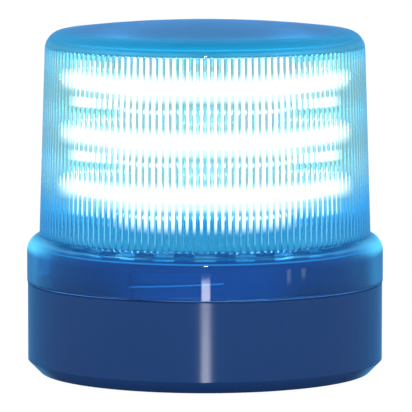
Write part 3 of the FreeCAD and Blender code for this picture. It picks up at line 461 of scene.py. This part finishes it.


# lens: clear blue plastic, deeper where the wall is seen at a low angle. All its glow is painted light, set
# by height and place: haze stands for light that the plastic scatters, bloom for that of each light row on
# the outside, and lines for the light that the flutes' crests catch. Heights are in mm, and fades towards
# the outline go from 0, seen straight on, to 1, edge on.

lensSet = {
    "tint": (0.25, 0.585, 0.74),
    "edgeTint": (0.035, 0.355, 0.665), "edgeFrom": (0.2, 0.9),     # towards the outline
    "collarTint": (0.08, 0.42, 0.70),   # below the shoulder
    "collarEdge": (0.008, 0.17, 0.42),
    "wallFrom": (37.0, 39.5),           # the wall's tints take over from the collar's
    "topTint": (0.03, 0.42, 0.80), "topFrom": (90.5, 94.0),        # the crown from outside
    "crownTint": (0.006, 0.025, 0.06),  # through the frost inside the crown
    "shade": 0.97,                      # the tint at the grain's low end
    "grain": (40.0, 900.0, 0.3),
    "ior": 1.585,
    "rough": (0.010, 0.022),
    "frost": 0.40,                      # roughness inside the crown
    "headFrost": 0.30,                  # and near the flutes' heads
    "fluteFrost": 0.08,                 # and of the flutes
    "shoulderFrost": 0.20,              # and below their feet
    "collarFrost": 0.12,                # and of the collar
    "withinFrost": (0.03, 0.06),        # what is rougher than this is the inside
    # painted haze by height: outside seen straight on, outside seen edge on, inside
    "paintedHaze": ((25.4, (0.000, 0.004, 0.020)), (33.0, (0.000, 0.004, 0.020)), (35.5, (0.001, 0.020, 0.060)),
             (38.6, (0.001, 0.050, 0.090)), (48.0, (0.002, 0.060, 0.100)), (54.0, (0.030, 0.060, 0.055)),
             (58.0, (0.055, 0.065, 0.028)), (88.0, (0.055, 0.065, 0.028)), (91.0, (0.010, 0.150, 0.260)),
             (93.5, (0.000, 0.200, 0.380)), (95.0, (0.000, 0.070, 0.140)), (98.2, (0.003, 0.010, 0.030))),
    "limb": ((25.4, (0.000, 0.000, 0.020)), (33.0, (0.000, 0.000, 0.020)), (35.5, (0.002, 0.060, 0.120)),
             (37.5, (0.001, 0.050, 0.100)), (39.5, (0.000, 0.010, 0.020)), (48.0, (0.000, 0.010, 0.020)),
             (54.0, (0.060, 0.120, 0.110)), (58.0, (0.105, 0.130, 0.090)), (88.0, (0.105, 0.130, 0.090)),
             (91.0, (0.030, 0.130, 0.170)), (95.0, (0.014, 0.145, 0.265)), (96.6, (0.030, 0.060, 0.135)),
             (98.2, (0.028, 0.075, 0.170))),
    "limbFrom": (0.1, 0.7),
    "inside": ((25.4, (0.000, 0.014, 0.060)), (33.0, (0.000, 0.020, 0.080)), (36.0, (0.000, 0.010, 0.140)),
               (37.2, (0.000, 0.030, 0.170)), (38.6, (0.000, 0.200, 0.395)), (47.0, (0.000, 0.190, 0.375)),
               (54.0, (0.120, 0.090, 0.030)), (88.0, (0.140, 0.090, 0.000)), (91.0, (0.010, 0.080, 0.120)),
               (98.2, (0.000, 0.020, 0.060))),
    # painted light added to the collar where it is seen straight on
    "collarPaintedHaze": (0.000, 0.020, 0.130), "collarTop": (33.0, 35.5), "collarEnd": (0.0, 0.22),
    # painted light added to the shoulder near the outline: low, high and softness, and where it fades in
    "shoulderLight": (0.090, 0.480, 0.620), "shoulderBand": (34.8, 38.0, 1.2), "shoulderEdge": (0.42, 0.80),
    "lugLight": (0.16, 0.37, 0.57),     # painted light where light would leave at the lugs' tops
    "rimLight": (0.07, 0.27, 0.80),     # and at the collar's rim
    "rimShare": 0.60,
    "rimGap": (249.5, 8.0),             # bearing and half width where the rim stays dark, degrees
    "rows": (44.6, 48.6, 90.4, 91.2),   # bloom and lines fade in and out over these heights
    # painted bloom and lines: colour, fades over the row's middle, and fades towards the outline
    "paintedBloom": (0.50, 0.52, 0.50), "bloomBand": (-0.6, 1.8, 3.3, 5.7), "bloomEdge": (0.44, 0.60),
    "bloomLow": (-2.6, -1.2, 1.5, 2.7), "bloomLowEdge": (0.02, 0.36),   # lower part, nearer the middle
    "lines": (2.2, 1.6, 1.4), "lineBand": (-5.1, -4.4, 7.9, 8.9), "lineEdge": (0.145, 0.185),
    "lineBelow": 0.38,                  # share of a row's pitch below its middle, for the lines
    "lineJoin": (0.045, 0.10),          # nearer the middle the lines of all rows join
    "lineTop": (89.0, 89.6),            # at the sides they end below these heights
    "lineDrop": 2.2, "dropTo": 0.14,    # and their lower ends are higher than in the middle by this
    "lineWidth": (0.36, 0.56),          # fade across a flute: 0 at its valleys, 1 at its crest
    "lineThin": (0.16, 0.26),           # lines in the middle and at the sides are thinner by this
    "thinMiddle": (0.004, 0.014),
    # at the sides they widen near the upper rings' beads
    "beadBand": (-4.8, -4.4, -2.2, -1.7), "beadWide": 0.75, "beadFrom": (0.035, 0.150),
    "beadAbove": (53.0, 54.0),
    # painted light in the valleys between the lines, less in the middle: low, high and softness, width and
    # fades
    "valley": (0.18, 0.44, 0.49), "valleyBand": (53.0, 90.0, 2.0), "valleyWidth": 0.35,
    "valleyFrom": (0.06, 0.16), "valleyLeast": 0.15, "valleyTo": (0.28, 0.50),
}


def byHeight(tree, level, stops):
    bottom, top = stops[0][0], stops[-1][0]
    share = spreadOver(tree, level, bottom * mm, top * mm, 0.0, 1.0)
    return colourRamp(tree, share, [((place - bottom) / (top - bottom), colour) for place, colour in stops])


def roundFacing(tree, coords):
    # how far the lens as a plain cylinder turns away, without its flutes
    outward = addNode(tree, "ShaderNodeVectorTransform", vector_type="NORMAL", convert_from="OBJECT",
                      convert_to="WORLD")
    join(tree, flattened(tree, coords), outward.inputs["Vector"])
    weight = addNode(tree, "ShaderNodeLayerWeight", Blend=0.5)
    join(tree, outward.outputs["Vector"], weight.inputs["Normal"])
    return weight.outputs["Facing"]


def lensColour(tree, shade, level, facing, frost):
    look = lensSet
    above = rising(tree, level, *inMm(look["wallFrom"]))
    clear = shadeBetween(tree, shade, tuple(look["shade"] * c for c in look["tint"]), look["tint"])
    clear = mixColour(tree, above, look["collarTint"], clear)
    clear = mixColour(tree, rising(tree, level, *inMm(look["topFrom"])), clear, look["topTint"])
    edge = mixColour(tree, above, look["collarEdge"], look["edgeTint"])
    clear = mixColour(tree, rising(tree, facing, *look["edgeFrom"]), clear, edge)
    crown = rising(tree, frost, look["fluteFrost"], look["frost"])
    return mixColour(tree, crown, clear, look["crownTint"])


def outsideLight(tree, level, facing, away):
    # painted light: haze, bloom, and what the collar and the shoulder add
    look = lensSet
    start, full, fall, end = inMm(look["rows"])
    lit = timesValue(tree, rising(tree, level, start, full), falling(tree, level, fall, end))
    light = mixColour(tree, rising(tree, facing, *look["limbFrom"]), byHeight(tree, level, look["paintedHaze"]),
                      byHeight(tree, level, look["limb"]))
    for band, edge in (("bloomBand", "bloomEdge"), ("bloomLow", "bloomLowEdge")):
        paintedBloom = timesValue(tree, rowLight(tree, level, look[band]), lit, falling(tree, facing, *look[edge]))
        light = addColour(tree, paintedBloom, light, look["paintedBloom"])
    collar = timesValue(tree, falling(tree, level, *inMm(look["collarTop"])),
                        falling(tree, facing, *look["collarEnd"]))
    light = addColour(tree, collar, light, look["collarPaintedHaze"])
    shoulder = timesValue(tree, bandOver(tree, level, *inMm(look["shoulderBand"])),
                          rising(tree, away, *look["shoulderEdge"]))
    return addColour(tree, shoulder, light, look["shoulderLight"])


def fluteLines(tree, level, away, crest):
    # painted lines of light where a flute's crest would catch it: a product of fades by height, by place
    # across the flute and by place round the lens
    look = lensSet
    start, full, fall, end = inMm(look["rows"])
    apart = rising(tree, away, *look["lineJoin"])
    lines = rowLight(tree, level, look["lineBand"], look["lineBelow"])
    lines = timesValue(tree, lines, falling(tree, level, *inMm(look["lineTop"])))
    lines = largerOf(tree, lines, falling(tree, apart, 0.0, 1.0))
    drop = rampOver(tree, away, 0.0, look["dropTo"], look["lineDrop"] * mm, 0.0)
    ends = timesValue(tree, rising(tree, sumOf(tree, level, drop), start, full),
                      falling(tree, level, fall, end))
    bead = timesValue(tree, rowLight(tree, level, look["beadBand"]),
                      rampOver(tree, away, *look["beadFrom"], 0.0, look["beadWide"]),
                      rising(tree, level, *inMm(look["beadAbove"])))
    thinMiddle, thinSide = look["lineThin"]
    thin = sumOf(tree, rampOver(tree, away, *look["thinMiddle"], -thinMiddle, 0.0),
                 rampOver(tree, away, *look["lineJoin"], 0.0, -thinSide))
    wide = sumOf(tree, crest, sumOf(tree, bead, thin))
    # seen from within the plastic alone
    face = addNode(tree, "ShaderNodeNewGeometry")
    return timesValue(tree, lines, ends, face.outputs["Backfacing"], rising(tree, wide, *look["lineWidth"]),
                      falling(tree, away, *look["lineEdge"]))


def insideLight(tree, level, away, crest):
    # painted light: haze, the valleys and the lines
    look = lensSet
    valley = timesValue(tree, bandOver(tree, level, *inMm(look["valleyBand"])),
                        falling(tree, crest, 0.0, look["valleyWidth"]),
                        rampOver(tree, away, *look["valleyFrom"], look["valleyLeast"], 1.0),
                        falling(tree, away, *look["valleyTo"]))
    light = addColour(tree, valley, byHeight(tree, level, look["inside"]), look["valley"])
    return addColour(tree, fluteLines(tree, level, away, crest), light, look["lines"])


def lensFinish():
    look = lensSet
    material, tree, shader, coords = newMaterial("lensBlue")
    shade = grainOn(tree, coords, *look["grain"]).outputs["Shade"]
    level = heightOf(tree, coords)
    facing = addNode(tree, "ShaderNodeLayerWeight", Blend=0.5).outputs["Facing"]
    away = roundFacing(tree, coords)
    frost = attribute(tree, "frost")
    join(tree, lensColour(tree, shade, level, facing, frost), shader.inputs["Base Color"])
    rough = largerOf(tree, frost, valueBetween(tree, shade, *look["rough"]))
    join(tree, rough, shader.inputs["Roughness"])
    shader.inputs["Transmission Weight"].default_value = 1.0
    shader.inputs["IOR"].default_value = look["ior"]
    # painted light: the lens's glow, outside and inside, as emission that the camera and clear plastic see
    within = rising(tree, frost, *look["withinFrost"])
    glow = mixColour(tree, within, outsideLight(tree, level, facing, away),
                     insideLight(tree, level, away, attribute(tree, "crest")))
    # painted light on the lugs' tops and the rim's bevel
    edge = attribute(tree, "edgeLight")
    onLug = rising(tree, edge, look["rimShare"], 1.0)
    glow = mixColour(tree, edge, glow, mixColour(tree, onLug, look["rimLight"], look["lugLight"]))
    join(tree, mixColour(tree, seenRay(tree), black, glow), shader.inputs["Emission Color"])
    shader.inputs["Emission Strength"].default_value = 1.0
    return material


# lens shape, sizes in mm as in the CAD

lensShape = {
    "rim": 25.4, "rimBevel": 0.25, "collarRadius": 50.0, "collarWall": 2.5, "collarHeight": 8.6,
    "shoulderStep": 3.52, "shoulderHeight": 4.6, "fillet": 0.4, "draft": math.radians(1.8),
    "domeHeight": 56.6, "wall": 2.6, "corner": 5.3, "innerCorner": 1.2, "crownRise": 3.0,
    "shoulderTurn": 66.0, "cornerTurn": 82.0,       # inside, the arcs end at these angles, degrees
    "flutes": 144, "fluteDepth": 0.34, "fluteFoot": 1.2, "fluteHead": 4.2, "fluteEnd": 1.2,
    "fluteCircle": 43.0,                # radius of the circle that the flutes' pitch is taken on
    "headRows": (0.7, 0.3, 0.0),        # rows below the flutes' heads
    "near": 0.3, "fluteNear": 0.4,      # rows this close to each bend keep the straight walls straight
    "perFlute": 10,
    "lugs": 3, "lugBearing": -9.5, "lugAngle": 32.0, "lugHeight": 4.6, "lugRamp": 1.4, "lugInner": 44.15,
    "lugLip": 0.05, "overLugs": (0.6, 0.3),         # rows at the lugs' tops, and of the wall between them
    "sharp": 32.0,                      # edges that turn by more than this stay sharp, degrees
    # points along each arc of the two profiles
    "points": dict(shoulder=9, fillet=6, corner=9, crown=7, innerShoulder=7, foot=6, innerCorner=5,
                   innerCrown=6),
    "frosted": 3,                       # upper points of the inner shoulder that are frosted more
    "tries": 4001,                      # places tried for a circle that touches the wall and an arc
}


def arcPoints(centre, radius, fromAngle, toAngle, count):
    # points on a circle between two angles, degrees from +radius, both ends included
    angle = np.radians(np.linspace(fromAngle, toAngle, count))
    return np.column_stack([centre[0] + radius * np.cos(angle), centre[1] + radius * np.sin(angle)])


def crownBow(edgeRadius, edgeLevel, rise, fromRadius, count):
    # the crown's circle arc from a radius to the axis, rising over its edge
    bow = (edgeRadius ** 2 + rise ** 2) / (2 * rise)
    radius = np.linspace(fromRadius, 0.0, count)
    return np.column_stack([radius, edgeLevel + rise - bow + np.sqrt(bow ** 2 - radius ** 2)])


def touching(middle, level, centre, reach):
    # of the places along a line, the one at a given reach from a centre, and its angle there, degrees
    best = np.argmin(np.abs(np.hypot(middle - centre[0], level - centre[1]) - reach))
    angle = math.degrees(math.atan2(level[best] - centre[1], middle[best] - centre[0]))
    return (middle[best], level[best]), angle


def lensLevels(size):
    # heights of the shoulder's foot and top and of the crown's edge, radius of the wall's foot, and radius
    # of the shoulder's arc
    shoulderFoot = size["rim"] + size["collarHeight"]
    shoulderTop = shoulderFoot + size["shoulderHeight"]
    crown = shoulderTop + size["domeHeight"]
    foot = size["collarRadius"] - size["shoulderStep"]
    bend = (size["shoulderHeight"] ** 2 + size["shoulderStep"] ** 2) / (2 * size["shoulderStep"])
    return shoulderFoot, shoulderTop, crown, foot, bend


def outerProfile(size):
    # radius and height, from the rim up to the crown's middle
    shoulderFoot, shoulderTop, crown, foot, bend = lensLevels(size)
    points, draft = size["points"], math.degrees(size["draft"])
    lean, slant = math.tan(size["draft"]), math.cos(size["draft"])
    # fillet at the wall's foot: its circle touches the leaning wall and the shoulder's arc from outside
    level = np.linspace(shoulderTop, shoulderTop + 3 * size["fillet"], size["tries"])
    middle = foot - (level - shoulderTop) * lean + size["fillet"] / slant
    shoulderCentre = (size["collarRadius"] - bend, shoulderFoot)
    filletCentre, filletTurn = touching(middle, level, shoulderCentre, bend + size["fillet"])
    shoulder = arcPoints(shoulderCentre, bend, 0.0, filletTurn, points["shoulder"])
    fillet = arcPoints(filletCentre, size["fillet"], 180.0 + filletTurn, 180.0 + draft,
                       points["fillet"])[1:]
    # rounding between wall and crown: its circle touches the leaning wall and the crown's arc
    edge = foot - size["domeHeight"] * lean
    bow = (edge ** 2 + size["crownRise"] ** 2) / (2 * size["crownRise"])
    level = np.linspace(crown - 2 * size["corner"], crown, size["tries"])
    middle = edge + (crown - level) * lean - size["corner"] / slant
    bowCentre = (0.0, crown + size["crownRise"] - bow)
    cornerCentre, cornerTurn = touching(middle, level, bowCentre, bow - size["corner"])
    corner = arcPoints(cornerCentre, size["corner"], draft, cornerTurn, points["corner"])
    crownArc = crownBow(edge, crown, size["crownRise"], corner[-1, 0], points["crown"])[1:]
    rimBevel = np.array([[size["collarRadius"] - size["rimBevel"], size["rim"]],
                         [size["collarRadius"], size["rim"] + size["rimBevel"]]])
    near = size["near"]
    collarTop = np.array([[size["collarRadius"], shoulderFoot - near]])
    wallLow = fillet[-1:] + [-near * lean, near]
    wallHigh = corner[:1] + [near * lean, -near]
    return np.vstack([rimBevel, collarTop, shoulder, fillet, wallLow, wallHigh, corner, crownArc])


def innerProfile(size):
    # radius, height, share of the flutes and frost, from the top of the collar up to the crown's middle
    shoulderFoot, shoulderTop, crown, foot, bend = lensLevels(size)
    points, look = size["points"], lensSet
    lean = math.tan(size["draft"])
    # shoulder: the outer bend, set in by the collar's wall
    shoulder = arcPoints((size["collarRadius"] - bend, shoulderFoot), bend - size["collarWall"], 0.0,
                         size["shoulderTurn"], points["innerShoulder"])
    collarTop = np.array([[size["collarRadius"] - size["collarWall"], shoulderFoot - size["near"]]])
    collar = np.pad(np.vstack([collarTop, shoulder]), ((0, 0), (0, 2)))
    collar[:, 3] = look["collarFrost"]
    collar[-size["frosted"]:, 3] = look["shoulderFrost"]
    # flutes: rounded feet, whose depth grows as a sine, and short upper ends
    low, high = shoulderTop - size["fluteFoot"], crown - size["fluteHead"]
    swell = np.sin(np.linspace(0.0, math.pi / 2, points["foot"]))
    feet = low + np.append(np.linspace(0.0, size["fluteEnd"], points["foot"]),
                           size["fluteEnd"] + size["fluteNear"])
    level = np.concatenate([feet, high - np.array(size["headRows"])])
    valley = foot - (level - shoulderTop) * lean - size["wall"]
    share = np.append(swell, [1.0, 1.0, 1.0, 0.0])
    frost = np.append(np.full(len(level) - 2, look["fluteFrost"]), [look["headFrost"], look["frost"]])
    fluted = np.column_stack([valley, level, share, frost])
    # crown: a small rounding, then the same rise as outside
    inner = crown - size["wall"]
    edge = foot - size["domeHeight"] * lean - size["wall"]
    corner = arcPoints((edge - size["innerCorner"], inner - size["innerCorner"]), size["innerCorner"], 0.0,
                       size["cornerTurn"], points["innerCorner"])
    bow = crownBow(edge, inner, size["crownRise"], corner[-1, 0], points["innerCrown"])[1:]
    cornerFrost = np.linspace(look["headFrost"], look["frost"], len(corner))
    corner = np.column_stack([corner, np.zeros(len(corner)), cornerFrost])
    bow = np.column_stack([bow, np.zeros(len(bow)), np.full(len(bow), look["frost"])])
    return np.vstack([collar, fluted, corner, bow])


def lugRows(size, turn):
    # inner collar wall with the bayonet lugs: within a lug the wall steps in, and the lug's top falls
    # in a straight line from its high end to its low end
    half = math.radians(size["lugAngle"]) / 2
    spread = 2 * math.pi / size["lugs"]
    first = math.radians(size["lugBearing"] - 90.0)
    off = (turn - first + spread / 2) % spread - spread / 2
    onLug = np.abs(off) <= half
    clear = size["rim"] + size["lugHeight"]
    top = clear - size["lugRamp"] * (half - off) / (2 * half)
    wall = np.full(len(turn), size["collarRadius"] - size["collarWall"])
    stepped = np.where(onLug, size["lugInner"], wall)
    upper, lower = size["overLugs"]
    radius = np.stack([wall, stepped, stepped])
    level = np.stack([np.where(onLug, top + size["lugLip"], clear + upper),
                      np.where(onLug, top, clear + lower),
                      np.full(len(turn), size["rim"])])
    return radius, level, onLug


def setAttribute(mesh, name, domain, values):
    mesh.attributes.new(name, "FLOAT", domain).data.foreach_set("value", values)


def makeLens():
    # the two profiles and the lug rows carried round the axis, with a pole at each end of the crown
    size = lensShape
    around = size["flutes"] * size["perFlute"]
    turn = np.arange(around) * 2 * math.pi / around
    outer = outerProfile(size)
    inner = innerProfile(size)
    # flute: a circle's bow over one pitch, between two sharp valleys
    place = (np.arange(around) % size["perFlute"]) / size["perFlute"] * 2 - 1
    halfPitch = math.pi * size["fluteCircle"] / size["flutes"]
    bend = (halfPitch ** 2 + size["fluteDepth"] ** 2) / (2 * size["fluteDepth"])
    bow = np.sqrt(bend ** 2 - (place * halfPitch) ** 2) - (bend - size["fluteDepth"])
    profile = np.vstack([np.pad(outer, ((0, 0), (0, 2)))[:-1], inner[:-1][::-1]])
    radius = profile[:, :1] - profile[:, 2:3] * bow[None, :]
    level = np.repeat(profile[:, 1:2], around, axis=1)
    lugRadius, lugLevel, onLug = lugRows(size, turn)
    radius, level = np.vstack([radius, lugRadius]), np.vstack([level, lugLevel])
    grid = np.stack([radius * np.cos(turn), radius * np.sin(turn), level], axis=-1).reshape(-1, 3)
    poles = np.array([[0.0, 0.0, outer[-1, 1]], [0.0, 0.0, inner[-1, 1]]])
    points = np.vstack([grid, poles]) * mm
    rows, top = len(radius), len(outer) - 1
    column = np.arange(around)
    following = (column + 1) % around

    def band(a, b):
        return np.column_stack([a * around + column, a * around + following,
                                b * around + following, b * around + column])

    quads = np.vstack([band(i, i + 1) for i in range(rows - 1) if i != top - 1] + [band(rows - 1, 0)])
    caps = np.vstack([np.column_stack([(top - 1) * around + column, (top - 1) * around + following,
                                       np.full(around, rows * around)]),
                      np.column_stack([top * around + following, top * around + column,
                                       np.full(around, rows * around + 1)])])
    mesh = bpy.data.meshes.new("lensDome")
    mesh.from_pydata(points.tolist(), [], quads.tolist() + caps.tolist())
    mesh.polygons.foreach_set("use_smooth", np.ones(len(mesh.polygons), bool))
    lugPoints = lugRadius.size
    frost = np.concatenate([np.repeat(profile[:, 3], around), np.full(lugPoints, lensSet["collarFrost"]),
                            [0.0, lensSet["frost"]]])
    setAttribute(mesh, "frost", "POINT", frost)
    # place across a flute: 0 in the valleys, 1 on the crest
    crest = (profile[:, 2:3] * (1 - np.abs(place))).ravel()
    setAttribute(mesh, "crest", "POINT", np.append(crest, np.zeros(lugPoints + len(poles))))
    # painted light, marked where light would leave at the lugs' top faces, the third row of quads from the
    # end, and, unevenly round the edge, at the bevel of the rim
    lit = np.zeros((rows - 1, around))
    lit[-3] = onLug & np.roll(onLug, -1)
    middle, half = lensSet["rimGap"]
    lit[0] = lensSet["rimShare"] * (1 - np.exp(-((np.degrees(turn) - middle) / half) ** 2))
    setAttribute(mesh, "edgeLight", "FACE", np.append(lit.ravel(), np.zeros(len(caps))))
    mesh.set_sharp_from_angle(angle=math.radians(size["sharp"]))    # valleys, lugs and rim stay sharp
    mesh.update()
    lens = bpy.data.objects.new("lensDome", mesh)
    bpy.context.scene.collection.objects.link(lens)
    mesh.materials.append(lensFinish())
    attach(lens, "dome")
    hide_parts("dome_lens")


makeLens()
print("lens made")


# finishes on the CAD pieces

def dress(material, *names):
    for name in names:
        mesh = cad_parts[name].data
        mesh.materials.clear()
        mesh.materials.append(material)


def eachTier(piece):
    return [f"{piece}_{tier}" for tier in ("lower", "middle", "upper")]


dress(plainFinish("baseNavy"), "base_cup")
dress(plainFinish("ringNavy"), "bayonet_ring")
dress(plainFinish("sealRubber"), "dome_seal", "foot_pad", "cable_grommet")
dress(plainFinish("screwSteel"), "ring_screws", "board_screws", "deck_screws", "terminal_screws",
      "tower_bolt", "tower_nut")
dress(plainFinish("terminalGrey"), "terminal_block")
dress(plainFinish("contactBrass"), "wire_clamps", "feed_pins")
dress(plainFinish("switchRed"), "mode_switch")
dress(plainFinish("sliderWhite"), *[f"mode_slider_{i}" for i in range(1, 5)])
dress(plainFinish("canSleeve"), "storage_capacitor")
dress(plainFinish("ferrite"), "choke")
dress(plainFinish("varistorLacquer"), "surge_varistor")
dress(plainFinish("chipBlack"), "driver_chips", "feed_header")
dress(plainFinish("palePlastic"), "deck")
dress(boardFinish("powerBoard"), "power_board")
dress(boardFinish("tierBoard"), *eachTier("tier_board"))
dress(litFinish("ledWhite", lampSet["ledColour"], lampSet["ledGlow"]), *eachTier("leds"))
dress(ringFinish(), *eachTier("light_ring"))
# the core's glow is painted light from the LEDs, with a painted highlight at each foot
dress(litFinish("coreWhite", lampSet["coreColour"], lampSet["corePaintedGlow"],
                (lampSet["coreFrom"], lampSet["coreTo"])),
      "tower_cap", *eachTier("spacer"))
print("finishes set")


# studio: white floor and backdrop; gloss mirrors a room with a bluish back, and in front an upright light
# strip below the camera and two faint panes to its right. Places in the room are parts of a direction:
# across to the right, along to the back, and upward.

studioSet = {
    "daylight": 0.75,                   # even light from all round
    "roomFront": (0.19, 0.23, 0.36),    # what gloss mirrors behind the camera
    "roomBack": (0.08, 0.24, 0.52), "backFrom": (0.1, 0.8),        # behind the object
    "tableBack": (0.10, 0.32, 0.64), "tableTo": (-0.06, 0.06),     # and just below its height
    "roomTop": (0.06, 0.18, 0.36), "topFrom": (0.45, 0.75),        # overhead
    "under": (0.05, 0.09, 0.18), "underTo": (-0.5, -0.3),          # steeply below
    "frontTo": (-0.2, 0.0),             # strip and panes are in front of the object alone
    # middle and half width across, low and high edge upward
    "strip": (0.009, 0.046, -0.32, -0.1225),
    "stripLight": (9.2, 9.5, 10.3), "stripSoft": (0.012, 0.0008),
    "panes": ((0.815, 0.014, -0.1228, -0.1194), (0.907, 0.011, -0.1216, -0.1190)),
    "paneLight": (1.3, 1.6, 1.7), "paneSoft": (0.006, 0.0006),
    "floorHalf": 6.0, "floorLevel": -0.0003,
    "floorColour": (0.85, 0.85, 0.85), "floorGlow": 1.04,
    "floorShade": 0.06,                 # share of the floor's white that shadows can take away
    "spot": dict(aim=(0.0, 0.0, 0.06), place=(0.012, -1.30, 0.50), size=(0.05, 0.05), power=0.6),
}


def makeWorld():
    look = studioSet
    world = bpy.data.worlds.new("studio")
    bpy.context.scene.world = world
    world.use_nodes = True
    tree = world.node_tree
    tree.nodes.clear()
    out = addNode(tree, "ShaderNodeOutputWorld")
    back = addNode(tree, "ShaderNodeBackground", Strength=1.0)
    path = addNode(tree, "ShaderNodeLightPath")
    coords = addNode(tree, "ShaderNodeTexCoord")
    split = addNode(tree, "ShaderNodeSeparateXYZ")
    join(tree, coords.outputs["Generated"], split.inputs["Vector"])
    across, along, upward = (split.outputs[axis] for axis in "XYZ")
    behind = mixColour(tree, rising(tree, upward, *look["tableTo"]), look["tableBack"], look["roomBack"])
    room = mixColour(tree, rising(tree, along, *look["backFrom"]), look["roomFront"], behind)
    room = mixColour(tree, rising(tree, upward, *look["topFrom"]), room, look["roomTop"])
    room = mixColour(tree, falling(tree, upward, *look["underTo"]), room, look["under"])
    front = falling(tree, along, *look["frontTo"])
    patches = [(look["strip"], look["stripSoft"], look["stripLight"])]
    patches += [(pane, look["paneSoft"], look["paneLight"]) for pane in look["panes"]]
    for (middle, half, low, high), (softAcross, softUpward), colour in patches:
        patch = timesValue(tree, bandOver(tree, across, middle - half, middle + half, softAcross),
                           bandOver(tree, upward, low, high, softUpward), front)
        room = mixColour(tree, patch, room, colour)
    light = mixColour(tree, path.outputs["Is Glossy Ray"], (look["daylight"],) * 3, room)
    join(tree, mixColour(tree, seenRay(tree), light, white), back.inputs["Color"])
    join(tree, back.outputs["Background"], out.inputs["Surface"])
    world.cycles.sampling_method = "NONE"


def makeFloor():
    half, level = studioSet["floorHalf"], studioSet["floorLevel"]
    corners = [(-half, -half, level), (half, -half, level), (half, half, level), (-half, half, level)]
    mesh = bpy.data.meshes.new("studioFloor")
    mesh.from_pydata(corners, [], [(0, 1, 2, 3)])
    floor = bpy.data.objects.new("studioFloor", mesh)
    bpy.context.scene.collection.objects.link(floor)
    material, tree, out = emptyMaterial("floorWhite")
    matt = addNode(tree, "ShaderNodeBsdfDiffuse", Color=(*studioSet["floorColour"], 1.0))
    glow = addNode(tree, "ShaderNodeEmission", Strength=studioSet["floorGlow"])
    keep = rampOver(tree, seenRay(tree), 0.0, 1.0, 0.0, 1.0 - studioSet["floorShade"])
    mix = addNode(tree, "ShaderNodeMixShader")
    join(tree, keep, mix.inputs[0])
    join(tree, matt.outputs["BSDF"], mix.inputs[1])
    join(tree, glow.outputs["Emission"], mix.inputs[2])
    join(tree, mix.outputs["Shader"], out.inputs["Surface"])
    mesh.materials.append(material)
    floor.visible_glossy = False        # gloss mirrors the room alone


def makeLamp(name, aim, place, size, power):
    data = bpy.data.lights.new(name, "AREA")
    data.shape = "RECTANGLE"
    data.size, data.size_y = size
    data.energy = power
    lamp = bpy.data.objects.new(name, data)
    lamp.location = place
    bpy.context.scene.collection.objects.link(lamp)
    # turned so that its own downward axis points from its place to its aim
    across, along, upward = np.array(aim) - np.array(place)
    tilt = math.atan2(math.hypot(across, along), -upward)
    lamp.rotation_euler = (tilt, 0.0, math.atan2(along, across) - math.pi / 2)


makeWorld()
makeFloor()
makeLamp("spotLamp", **studioSet["spot"])
print("studio set")

bpy.context.scene.view_settings.view_transform = "Standard"
